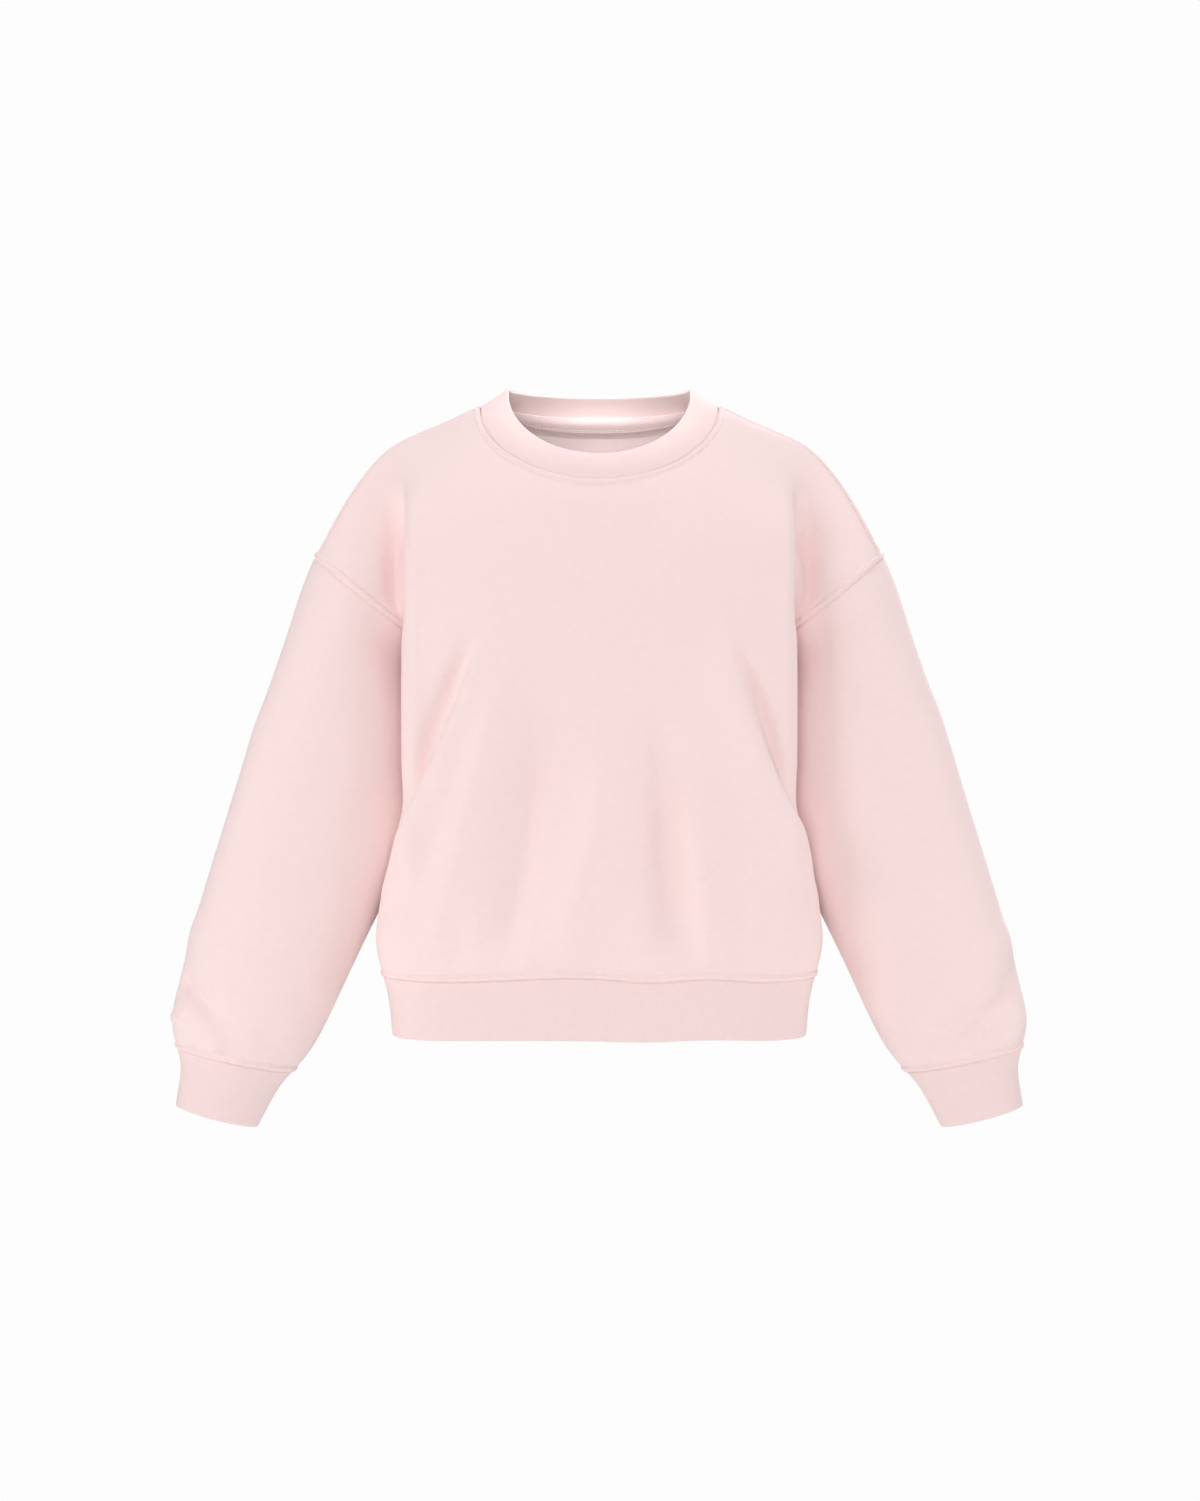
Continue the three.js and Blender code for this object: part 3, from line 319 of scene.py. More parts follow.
def neck_distance(points, way):
    """How far outside the neck hole points lie, the front read from the front, the back from above."""
    across = np.abs(points[..., 0])
    down = -points[..., 2] if way < 0 else points[..., 1] - NECK_Y
    down = np.maximum(down, 0)
    reach = FRONT_DROP if way < 0 else BACK_REACH
    ratio = ((across / NECK_HALF) ** NECK_POWER + (down / reach) ** NECK_POWER) ** (1 / NECK_POWER)
    return np.where(ratio < 0.1, -reach, (1 - 1 / np.maximum(ratio, 0.1)) * np.hypot(across, down))


def turning_point(low, high, test):
    """The values between low and high at which a test turns from true to false."""
    for _ in range(BISECTIONS):
        middle = (low + high) / 2
        holds = test(middle)
        low, high = np.where(holds, middle, low), np.where(holds, high, middle)
    return low


def panel_layout(panel):
    """Heights, shares and distances from the edge of the half panel's grid, as (rows, columns)."""
    seam_row = lambda share: panel.at(np.full(len(share), TOP), share)
    length = seam_row(np.array([1.0]))[1][0]
    corner = turning_point(np.zeros(1), np.ones(1), lambda u: -seam_row(u)[0][:, 0] < NECK_HALF)[0]
    neck = corner * np.sin(np.linspace(0, math.pi / 2, NECK_COLUMNS))
    past = corner + SEAM_STEPS[1:] / length
    chest = np.arange(1, CHEST_COLUMNS) / CHEST_COLUMNS
    edge = SEAM_STEPS[::-1]
    share = np.concatenate([neck, past, mix(past[-1], 1, chest), np.ones(len(edge))])
    away = np.concatenate([np.zeros(len(neck) + len(past)), SEAM_END * chest, edge])
    near_top = np.linalg.norm(
        panel.at(np.full(len(share), TOP - 1.0), share, away)[0]
        - panel.at(np.full(len(share), float(TOP)), share, away)[0], axis=1)
    tops = []
    for step in SEAM_STEPS[::-1]:
        below_neck = turning_point(
            np.full(len(share), float(UNDERARM)), np.full(len(share), float(TOP)),
            lambda h: neck_distance(panel.at(h, share, away)[0], panel.way) > step)
        tops.append(np.minimum(below_neck, TOP - step / near_top))
    flat = np.ones(len(share))
    rows = [flat * step for step in SEAM_STEPS]
    rows += [flat * mix(SEAM_END, UNDERARM, i / BODY_ROWS) for i in range(1, BODY_ROWS + 1)]
    rows += [mix(UNDERARM, tops[0], i / YOKE_ROWS) for i in range(1, YOKE_ROWS)]
    heights = np.array(rows + tops)
    even = np.linspace(0, 1, len(share))
    crowded = smooth(heights / UNDERARM)
    return heights, mix(even, share, crowded), away * crowded, near_top


def grid_of(panel):
    """The whole panel's grid, from its left edge to its right edge, with what each point lies near."""
    heights, shares, aways, near_top = panel_layout(panel)
    points, lengths = panel.at(heights.ravel(), shares.ravel(), aways.ravel())
    points, lengths = points.reshape(heights.shape + (3,)), lengths.reshape(heights.shape)
    across = shares * lengths - aways
    half = {
        "points": points, "height": heights, "across": across, "edge": lengths - across,
        "from_top": (TOP - heights) * near_top, "share": shares,
    }
    whole = {name: np.concatenate([field[:, :0:-1], field], axis=1) for name, field in half.items()}
    right = half["points"].shape[1]
    whole["points"][:, right:] *= MIRROR
    whole["across"][:, :right - 1] *= -1
    return whole


front_grid, back_grid = grid_of(front), grid_of(back)
ROWS, COLUMNS = front_grid["height"].shape
MIDDLE = COLUMNS // 2
print(f"front and back: {ROWS} rows of {COLUMNS} points each")

# %% [markdown]
# Relief is laid on a surface along its own normals. A normal is the cross product of the directions
# along the row and along the column, and the direction at a point allows for uneven spacing.

# %% Normals of a grid
PARALLEL = 0.25


def direction(points, axis, wraps):
    count = points.shape[axis]
    steps = np.arange(count)
    ahead = (steps + 1) % count if wraps else np.minimum(steps + 1, count - 1)
    behind = (steps - 1) % count if wraps else np.maximum(steps - 1, 0)
    after = np.take(points, ahead, axis) - points
    before = points - np.take(points, behind, axis)
    a = (before**2).sum(axis=-1, keepdims=True)
    b = (after**2).sum(axis=-1, keepdims=True)
    tangent = np.where(a == 0, after, np.where(b == 0, before, after * a + before * b))
    return unit(tangent), before


def normals_of(points, wraps=False):
    across, _ = direction(points, 1, wraps)
    up, from_below = direction(points, 0, False)
    normal = np.cross(across, up)
    weak = np.linalg.norm(normal, axis=-1, keepdims=True) < PARALLEL
    normal = unit(np.where(weak, np.cross(across, unit(from_below)), normal))
    outward = (normal * (points - points.mean(axis=1, keepdims=True))).sum()
    return normal if outward > 0 else -normal


# %% [markdown]
# The folds could come from a cloth simulation, but then they would fall where the solver likes. The
# photograph shows exactly where this garment creases, so each fold is drawn one by one: a curved line,
# its width on either side, and how far it stands out or sinks in. A narrow side beside a wide one
# makes the crisp edge of a real crease. The back and the far sides of the sleeves get similar ones.

# %% Folds drawn one by one
FOLD_PIECES = 20
FRONT_FOLDS = [  # from, via, to as x, z; width to the left and right; height
    ((-89, -188), (-131, -302), (-194, -444), (6, 26), 12.0),
    ((-105, -202), (-144, -297), (-178, -386), (10, 6), -9.0),
    ((-72, -210), (-112, -350), (-156, -515), (13, 20), 10.0),
    ((-48, -246), (-62, -385), (-88, -515), (20, 16), -12.0),
    ((4, -280), (2, -400), (-46, -515), (19, 23), 10.0),
    ((50, -262), (56, -385), (64, -515), (16, 19), -12.0),
    ((74, -320), (88, -430), (100, -515), (12, 19), 8.4),
    ((102, -186), (131, -290), (201, -458), (27, 6), 11.5),
    ((113, -206), (144, -294), (176, -384), (7, 10), -9.5),
    ((118, -400), (132, -455), (150, -507), (14, 14), -2.4),
    ((-128, -430), (-124, -470), (-120, -507), (11, 13), -2.2),
    ((-20, -440), (-8, -475), (4, -509), (11, 14), -2.2),
    ((28, -430), (34, -470), (32, -509), (10, 12), 1.8),
    ((-66, -440), (-62, -475), (-60, -509), (10, 12), 1.6),
    ((-196, -410), (-178, -450), (-168, -503), (13, 13), 2.4),
    ((190, -420), (178, -455), (172, -503), (13, 12), 2.4),
    ((-178, -62), (-181, -125), (-177, -220), (10, 5), -10.0),
    ((178, -62), (181, -125), (177, -220), (5, 10), -10.0),
    ((-148, -60), (-154, -110), (-150, -170), (18, 22), 2.0),
    ((150, -60), (155, -112), (151, -172), (22, 18), 2.0),
    ((-60, -96), (-92, -150), (-106, -206), (28, 32), 1.6),
    ((62, -96), (94, -150), (110, -204), (32, 28), 1.6),
    ((-30, -150), (0, -172), (34, -150), (34, 30), -1.2),
]
BACK_FOLDS = [
    ((-110, -196), (-142, -300), (-186, -420), (10, 25), 5.8),
    ((-132, -210), (-152, -290), (-168, -352), (16, 11), -4.6),
    ((-56, -250), (-70, -380), (-98, -506), (20, 24), -4.4),
    ((-6, -230), (10, -370), (-6, -506), (28, 32), 4.4),
    ((60, -270), (70, -390), (84, -506), (24, 20), -4.4),
    ((106, -196), (140, -300), (184, -416), (25, 10), 5.8),
    ((130, -206), (152, -290), (168, -350), (11, 16), -4.8),
    ((-120, -380), (-132, -445), (-150, -507), (16, 16), 2.8),
    ((112, -380), (126, -445), (140, -507), (16, 16), 2.8),
    ((-30, -430), (-38, -470), (-50, -508), (12, 15), 1.9),
    ((34, -420), (38, -470), (30, -508), (13, 13), 1.9),
    ((-70, -40), (0, -58), (72, -38), (20, 26), 1.6),
    ((-96, -70), (0, -96), (92, -74), (26, 30), -1.5),
    ((-196, -410), (-180, -450), (-170, -503), (14, 14), 2.2),
    ((192, -415), (180, -452), (172, -503), (14, 12), 2.2),
]
SLEEVE_FOLDS = {  # from, via, to as degrees round (90 is the front) and millimetres above the cuff
    "right": [
        ((174, 70), (128, 58), (50, 13), (9, 12), -8.0),
        ((160, 26), (145, 27), (126, 18), (10, 7), 4.6),
        ((110, 28), (100, 25), (90, 12), (9, 7), 4.4),
        ((78, 46), (66, 34), (56, 16), (9, 9), -2.6),
        ((172, 12), (162, 10), (150, 8), (8, 8), -1.6),
        ((190, 96), (150, 104), (112, 78), (13, 17), 2.2),
        ((235, 74), (275, 60), (314, 24), (11, 11), -5.0),
        ((258, 26), (280, 22), (300, 12), (10, 8), 4.0),
        ((212, 40), (230, 30), (244, 14), (10, 8), 3.0),
        ((120, 250), (96, 205), (70, 160), (20, 28), -2.0),
        ((176, 330), (146, 262), (120, 190), (24, 28), 2.0),
        ((60, 300), (48, 240), (46, 160), (16, 22), -2.0),
    ],
    "left": [
        ((170, 58), (142, 72), (86, 18), (10, 9), -7.4),
        ((166, 24), (150, 34), (134, 26), (9, 8), 4.5),
        ((116, 22), (106, 18), (96, 10), (8, 7), 4.2),
        ((136, 14), (128, 12), (120, 10), (7, 7), -2.4),
        ((80, 44), (68, 34), (60, 18), (9, 9), -2.6),
        ((190, 100), (152, 108), (114, 80), (15, 15), 2.0),
        ((228, 64), (262, 66), (302, 30), (11, 11), -5.0),
        ((250, 26), (268, 24), (288, 14), (10, 8), 4.0),
        ((206, 36), (222, 28), (236, 14), (10, 8), 3.0),
        ((124, 240), (98, 200), (72, 150), (22, 26), -2.0),
        ((172, 320), (142, 255), (118, 180), (26, 26), 2.0),
        ((60, 300), (48, 240), (46, 160), (16, 22), -2.0),
    ],
}
FOLD_FADE = 0.3


def fold_height(folds, across, up):
    """Height of all the folds at places given by two coordinates."""
    total = np.zeros(across.shape)
    for start, via, end, widths, height in folds:
        t = np.linspace(0, 1, FOLD_PIECES + 1)[:, None]
        line = (1 - t) ** 2 * np.array(start) + 2 * t * (1 - t) * np.array(via) + t**2 * np.array(end)
        nearest, place, side = np.full(across.shape, np.inf), np.zeros(across.shape), np.zeros(across.shape)
        for i, (a, b) in enumerate(zip(line[:-1], line[1:])):
            d = b - a
            s = np.clip(((across - a[0]) * d[0] + (up - a[1]) * d[1]) / (d @ d), 0, 1)
            gap_across, gap_up = across - a[0] - s * d[0], up - a[1] - s * d[1]
            gap = np.hypot(gap_across, gap_up)
            closer = gap < nearest
            nearest = np.where(closer, gap, nearest)
            place = np.where(closer, (i + s) / FOLD_PIECES, place)
            side = np.where(closer, d[0] * gap_up - d[1] * gap_across, side)
        width = mix(widths[0], widths[1], smooth(0.5 + side / 40))
        ends = smooth(place / FOLD_FADE) * smooth((1 - place) / FOLD_FADE)
        total += height * np.exp(-((nearest / width) ** 2)) * ends
    return total


# %% [markdown]
# A seam shows by what happens beside it. The cloth turns in at the seam line, the topstitched band
# stands up next to it, each row of thread bites into the band, and the tension of the thread gathers
# the cloth into small uneven puckers.

# %% Relief beside a seam
def ridge(away):
    """The raised band at a distance from its seam."""
    band = RIDGE * smooth(away / RIDGE_RISE) * (1 - smooth((away - RIDGE_TOP) / (RIDGE_FLAT - RIDGE_TOP)))
    for needle in NEEDLES:
        band = band - NEEDLE_DIP * np.exp(-(((away - needle) / NEEDLE_WIDTH) ** 2))
    return (band - OUTER_DIP * np.exp(-((away - RIDGE_FLAT) ** 2))) * (away < 2 * RIDGE_FLAT)


def valley(away):
    return -VALLEY * np.exp(-((away / VALLEY_WIDTH) ** 2))


def pucker(along, away, reach=16, height=0.5):
    """Small gathers along a seam, uneven in size and spacing."""
    wave = np.sin(along / 4.1 + 1.9 * np.sin(along / 23)) + 0.8 * np.sin(along / 7.7 + 1.3 * np.sin(along / 41))
    swell = 0.6 + 0.4 * np.sin(along / 37 + 0.8)
    return height * 0.5 * wave * swell * np.exp(-((away / reach) ** 2))


# %% [markdown]
# Every piece starts as what the cutter has: a flat cut, here a grid with its own pattern coordinates
# in metres, so that the knit of the material follows the cloth. The grid is then draped by giving its
# points their places. A tube's two long edges meet in a seam and are merged. Fleece gets its second
# face from Solidify, and its inner side, the brushed one, has a material of its own.

# %% From the flat cut to the draped cloth
MERGE = 0.000002
CUT_MARGIN = 0.02  # the pattern coordinates start this far from zero


def drape(name, points, cut):
    """A cut as a grid of (rows, columns) with pattern coordinates "cut", laid where "points" says."""
    rows, columns = points.shape[:2]
    bpy.ops.object.select_all(action="DESELECT")
    bpy.ops.mesh.primitive_grid_add(x_subdivisions=columns - 1, y_subdivisions=rows - 1, size=1)
    piece = bpy.context.object
    piece.name = piece.data.name = name
    mesh = piece.data
    mesh.vertices.foreach_set("co", (points * MM).ravel())
    corners = np.empty(len(mesh.loops), int)
    mesh.loops.foreach_get("vertex_index", corners)
    pattern = (cut - cut.min(axis=(0, 1))) * MM + CUT_MARGIN
    mesh.uv_layers[0].name = "cut"
    mesh.uv_layers["cut"].data.foreach_set("uv", pattern.reshape(-1, 2)[corners].ravel())
    mesh.update()
    bpy.ops.object.mode_set(mode="EDIT")
    bpy.ops.mesh.select_all(action="SELECT")
    bpy.ops.mesh.remove_doubles(threshold=MERGE)
    bpy.ops.object.mode_set(mode="OBJECT")
    return piece


def face_outwards(piece, points, normals):
    """Turns the faces of an open sheet so that they look the way its normals do."""
    middle = points.shape[0] // 2 * points.shape[1] + points.shape[1] // 2
    target = Vector(points.reshape(-1, 3)[middle] * MM)
    nearest = min(piece.data.polygons, key=lambda face: (face.center - target).length_squared)
    if nearest.normal.dot(Vector(normals.reshape(-1, 3)[middle])) < 0:
        bpy.ops.object.mode_set(mode="EDIT")
        bpy.ops.mesh.select_all(action="SELECT")
        bpy.ops.mesh.flip_normals()
        bpy.ops.object.mode_set(mode="OBJECT")


def thicken(piece, thickness):
    """Gives a sheet its second face and its rims, the new face with the second material."""
    solid = piece.modifiers.new("wall", "SOLIDIFY")
    solid.thickness = thickness * MM
    solid.offset = -1
    solid.use_quality_normals = True
    solid.material_offset = 1
    bpy.context.view_layer.objects.active = piece
    bpy.ops.object.modifier_apply(modifier=solid.name)


def finish_faces(piece, angle=50):
    bpy.ops.object.select_all(action="DESELECT")
    piece.select_set(True)
    bpy.context.view_layer.objects.active = piece
    bpy.ops.object.shade_smooth_by_angle(angle=math.radians(angle))
    triangles = sum(len(face.vertices) - 2 for face in piece.data.polygons)
    print(f"{piece.name}: {triangles} triangles")


# %% [markdown]
# Nothing is textured from a picture. The outside of this fleece is a fine plain knit: small V-shaped
# stitches in upright wales, a little over a millimetre wide. At arm's length one sees only a soft
# grain and a faint mottling. Both are built from the pattern coordinates, the V-stitches as bump and
# the mottling as colour, with a little sheen from the fibres that stand off the surface.

# %% Knit, brushed back, bands, tape and thread
def node(tree, kind, **settings):
    made = tree.nodes.new(kind)
    inputs = settings.pop("inputs", {})
    for name, value in settings.items():
        setattr(made, name, value)
    for name, value in inputs.items():
        if isinstance(value, bpy.types.NodeSocket):
            tree.links.new(value, made.inputs[name])
        else:
            made.inputs[name].default_value = value
    return made.outputs[0]


def sums(tree, operation, a, b=0.0):
    return node(tree, "ShaderNodeMath", operation=operation, inputs={0: a, 1: b})


def knit_height(tree, cut, wale, course):
    """V-shaped stitches: two slanting legs to a wale, one row of them to a course."""
    scaled = node(tree, "ShaderNodeVectorMath", operation="MULTIPLY",
                  inputs={0: cut, 1: (1 / (wale * MM), 1 / (course * MM), 0)})
    split = tree.nodes.new("ShaderNodeSeparateXYZ")
    tree.links.new(scaled, split.inputs[0])
    slant = sums(tree, "PINGPONG", split.outputs[0], 0.5)
    rows = sums(tree, "SINE", sums(tree, "MULTIPLY", sums(tree, "ADD", split.outputs[1], slant), math.tau))
    legs = sums(tree, "PINGPONG", sums(tree, "MULTIPLY", split.outputs[0], 2.0), 0.5)
    return sums(tree, "ADD", sums(tree, "MULTIPLY", rows, 0.3), legs)


def rib_height(tree, cut, rib):
    """Upright ribs, one knit and one purl."""
    scaled = node(tree, "ShaderNodeVectorMath", operation="MULTIPLY", inputs={0: cut, 1: (math.tau / (rib * MM), 0, 0)})
    split = tree.nodes.new("ShaderNodeSeparateXYZ")
    tree.links.new(scaled, split.inputs[0])
    return sums(tree, "SINE", split.outputs[0])


def noise(tree, where, scale, detail=3.0, roughness=0.55):
    return node(tree, "ShaderNodeTexNoise", inputs={
        "Vector": where, "Scale": scale, "Detail": detail, "Roughness": roughness})


def cloth(name, light, deep, structure, bump, grain, roughness, sheen):
    """A matt textile: mottled between two tones, with structure and fine grain as bump."""
    material = bpy.data.materials.new(name)
    material.use_nodes = True
    tree = material.node_tree
    shader = tree.nodes["Principled BSDF"]
    cut = node(tree, "ShaderNodeUVMap", uv_map="cut")
    mottle = sums(tree, "ADD", sums(tree, "MULTIPLY", noise(tree, cut, 160.0, 5.0, 0.62), 0.6),
                  sums(tree, "MULTIPLY", noise(tree, cut, 900.0, 2.0), 0.4))
    ramp = tree.nodes.new("ShaderNodeValToRGB")
    tree.links.new(mottle, ramp.inputs[0])
    ramp.color_ramp.elements[0].position, ramp.color_ramp.elements[0].color = 0.34, (*deep, 1)
    ramp.color_ramp.elements[1].position, ramp.color_ramp.elements[1].color = 0.66, (*light, 1)
    tree.links.new(ramp.outputs[0], shader.inputs["Base Color"])
    relief = sums(tree, "ADD", structure(tree, cut), sums(tree, "MULTIPLY", noise(tree, cut, 1500.0, 2.0), grain))
    raised = node(tree, "ShaderNodeBump", inputs={"Strength": bump, "Distance": 0.0003, "Height": relief})
    tree.links.new(raised, shader.inputs["Normal"])
    shader.inputs["Roughness"].default_value = roughness
    shader.inputs["Specular IOR Level"].default_value = 0.2
    shader.inputs["Sheen Weight"].default_value = sheen
    shader.inputs["Sheen Roughness"].default_value = 0.55
    shader.inputs["Sheen Tint"].default_value = (1.0, 0.93, 0.92, 1)
    return material


PINK_LIGHT, PINK_DEEP = (0.955, 0.762, 0.747), (0.93, 0.732, 0.717)
fleece_face = cloth("fleece_face", PINK_LIGHT, PINK_DEEP, lambda t, c: knit_height(t, c, 1.3, 0.95), 0.25, 1.2,
                    0.92, 0.4)
fleece_brushed = cloth("fleece_brushed", (0.97, 0.83, 0.81), (0.95, 0.79, 0.77), lambda t, c: noise(t, c, 420.0, 6.0, 0.7),
                       0.6, 1.5, 1.0, 0.3)
rib_face = cloth("rib_face", (0.905, 0.715, 0.70), (0.88, 0.685, 0.67), lambda t, c: rib_height(t, c, 1.6), 0.16, 1.0,
                 0.9, 0.35)
tape_face = cloth("tape_face", (0.94, 0.775, 0.765), (0.92, 0.745, 0.735), lambda t, c: knit_height(t, c, 1.0, 0.8),
                  0.3, 0.6, 0.85, 0.1)


def thread_material():
    material = bpy.data.materials.new("sewing_thread")
    material.use_nodes = True
    tree = material.node_tree
    shader = tree.nodes["Principled BSDF"]
    place = node(tree, "ShaderNodeTexCoord")
    place = tree.nodes[-1].outputs["Object"]
    twist = node(tree, "ShaderNodeTexWave", inputs={"Vector": place, "Scale": 900.0, "Distortion": 2.0})
    tree.links.new(node(tree, "ShaderNodeBump", inputs={"Strength": 0.3, "Distance": 0.0001, "Height": twist}),
                   shader.inputs["Normal"])
    tone = noise(tree, place, 300.0)
    ramp = tree.nodes.new("ShaderNodeValToRGB")
    tree.links.new(tone, ramp.inputs[0])
    ramp.color_ramp.elements[0].color = (0.87, 0.66, 0.65, 1)
    ramp.color_ramp.elements[1].color = (0.94, 0.75, 0.74, 1)
    tree.links.new(ramp.outputs[0], shader.inputs["Base Color"])
    shader.inputs["Roughness"].default_value = 0.6
    return material


sewing_thread = thread_material()
print("materials:", [m.name for m in (fleece_face, fleece_brushed, rib_face, tape_face, sewing_thread)])

# %% [markdown]
# The front and the back. The folds die away towards the seams that hold them, neck, shoulder and
# armhole, but they run on into the hem band, which gathers them. The band's seam isn't quite level
# either: it rises and dips a little between the folds.

# %% Front and back
CALM = 30  # folds die away over this distance from a seam
ARMPIT = 40  # the armhole's band begins this far above the underarm
HEM_CALM = 45
CREASE, CREASE_X, CREASE_WIDTH, CREASE_EDGE, CREASE_Y = 12, 170, 14, 6, 28  # the upright crease beside each arm
CREASE_HEAD, CREASE_FOOT, CREASE_FADE = -48, -450, 60
HEM_WAVES = {  # x along the hem seam and how far it lies off the level, front and back
    -1: [(-195, 0), (-144, -1.6), (-54, 2.0), (0, 2.0), (45, -1.2), (90, 1.5), (140, -1.6), (195, 0)],
    1: [(-195, 0), (-120, 1.6), (-50, -1.4), (10, 1.8), (80, -1.2), (130, 1.4), (195, 0)],
}


def hem_wave(x, way):
    places, offsets = np.array(HEM_WAVES[way], float).T
    return Curves(places[None], offsets[None, :, None]).at(np.clip(x, -195, 195).reshape(1, -1)).reshape(x.shape)


def upright_crease(x, z):
    """How far the crease beside each arm stands forward: a flat chest up to a crisp edge."""
    span = smooth((z - CREASE_FOOT) / CREASE_FADE) * smooth((CREASE_HEAD - z) / CREASE_FADE)
    beyond = np.abs(x) - CREASE_X
    return CREASE * np.exp(-((beyond / np.where(beyond > 0, CREASE_EDGE, CREASE_WIDTH)) ** 2)) * span


def soft_panel(grid, way, folds):
    """The panel with its folds, its wavy hem seam and its puckers, but still without raised bands."""
    base = grid["points"]
    normals = normals_of(base)
    neck = neck_distance(base, way)
    calm = smooth(grid["edge"] / CALM) * smooth(neck / CALM) * smooth(grid["from_top"] / CALM)
    lift = fold_height(folds, base[..., 0], base[..., 2]) * calm
    lift += pucker(base[..., 0] + 40 * way, grid["height"]) * smooth(grid["edge"] / CALM)
    held = smooth((grid["height"] - UNDERARM) / ARMPIT) * smooth(neck / CALM)
    lift += pucker(grid["height"] + 90 * way, grid["edge"], 14, 0.4) * held
    points = base + normals * lift[..., None]
    forward = upright_crease(base[..., 0], base[..., 2]) * smooth((np.abs(base[..., 1]) - CREASE_Y) / CREASE_Y)
    points[..., 1] += way * forward * calm
    points[..., 2] += hem_wave(base[..., 0], way) * (1 - smooth(grid["height"] / HEM_CALM))
    return points


def panel_relief(grid, way):
    """Raised bands and seam valleys."""
    neck = np.maximum(neck_distance(grid["points"], way), 0)
    shoulder = np.maximum(grid["from_top"], 0)
    past_armpit = smooth((grid["height"] - UNDERARM - ARMPIT) / ARMPIT)
    bands = [ridge(grid["height"]), ridge(neck), ridge(grid["edge"]) * past_armpit]
    if way > 0:
        bands.append(ridge(shoulder))
    band = np.where(np.maximum.reduce(bands) > 0, np.maximum.reduce(bands), np.minimum.reduce(bands))
    nearest = np.minimum.reduce([grid["height"], neck, shoulder, grid["edge"]])
    at_armpit = np.hypot(grid["edge"], grid["height"] - UNDERARM)
    return band * smooth(nearest / RIDGE_RISE) + valley(nearest) * smooth(at_armpit / ARMPIT)


def make_panel(name, grid, way, folds):
    soft = soft_panel(grid, way, folds)
    normals = normals_of(soft)
    points = soft + normals * panel_relief(grid, way)[..., None]
    cut = np.stack([grid["across"], grid["height"]], axis=-1)
    piece = drape(name, points, cut)
    piece.data.materials.append(fleece_face)
    piece.data.materials.append(fleece_brushed)
    face_outwards(piece, points, normals)
    thicken(piece, FLEECE)
    finish_faces(piece)
    return {"piece": piece, "soft": soft, "points": points, "normals": normals, "cut": cut, "grid": grid}


front_cloth = make_panel("front_cloth", front_grid, -1, FRONT_FOLDS)
back_cloth = make_panel("back_cloth", back_grid, 1, BACK_FOLDS)

# %% [markdown]
# The sleeves. Each is a straight tube of fleece, full at the cuff, where the cuff gathers it and the
# cloth blouses over in a few deep troughs and puffs. Their first ring is the dropped armhole seam.

# %% Sleeves
SLEEVE_ROWS, SLEEVE_COLUMNS = 132, 132
CUFF_CALM = 12
sleeve_steps = np.concatenate([
    SEAM_STEPS[:5], np.linspace(3, sleeve.length - SEAM_END, SLEEVE_ROWS), sleeve.length - SEAM_STEPS[-2::-1]])
turns = np.linspace(0, 360, SLEEVE_COLUMNS + 1)


def on_side(points, side):
    return points if side == "left" else points * MIRROR


def close_ring(field):
    """Makes the last column of a ring the first one again."""
    field[:, -1] = field[:, 0]
    return field


def ring_normals(points):
    normals = normals_of(points[:, :-1], wraps=True)
    return np.concatenate([normals, normals[:, :1]], axis=1)


def make_sleeve(side):
    base = close_ring(on_side(sleeve.at(turns[None, :], sleeve_steps[:, None] / sleeve.length), side))
    above = (sleeve.length - sleeve_steps)[:, None] + 0 * turns[None, :]
    below = sleeve_steps[:, None] + 0 * turns[None, :]
    around = turns[None, :] + 0 * above
    lift = fold_height(SLEEVE_FOLDS[side], around, above) * smooth(above / CUFF_CALM) * smooth(below / CALM)
    seed = 11 if side == "left" else 47
    lift += pucker(around + seed, above, 13, 0.9) * smooth(around / 20) * smooth((360 - around) / 20)
    soft = close_ring(base + ring_normals(base) * lift[..., None])
    normals = ring_normals(soft)
    at_armpit = np.minimum(around, 360 - around)  # a degree round the armhole is about a millimetre
    relief = ridge(above) + valley(above) + valley(below) * smooth(at_armpit / ARMPIT)
    points = close_ring(soft + normals * relief[..., None])
    gauge = np.linalg.norm(np.diff(base, axis=1), axis=-1).sum(axis=1).mean() / 360
    cut = np.stack([around * gauge, above], axis=-1)
    piece = drape(f"sleeve_cloth_{side}", points, cut)
    piece.data.materials.append(fleece_face)
    piece.data.materials.append(fleece_brushed)
    face_outwards(piece, points, normals)
    thicken(piece, FLEECE)
    finish_faces(piece)
    return {"piece": piece, "soft": soft, "points": points, "normals": normals, "cut": cut}


sleeves = {side: make_sleeve(side) for side in ("left", "right")}

# %% [markdown]
# Collar, cuffs and hem band are the same kind of piece: a strip, joined to a ring and folded double.
# The grid of the flat strip runs up the outer face, round the fold and down the inner face, so that
# the folded edge is as round as the real one, and the last row closes it at the seam.

# %% Strips folded double
FOLD_ARC = np.linspace(0, 180, 9)[1:-1]


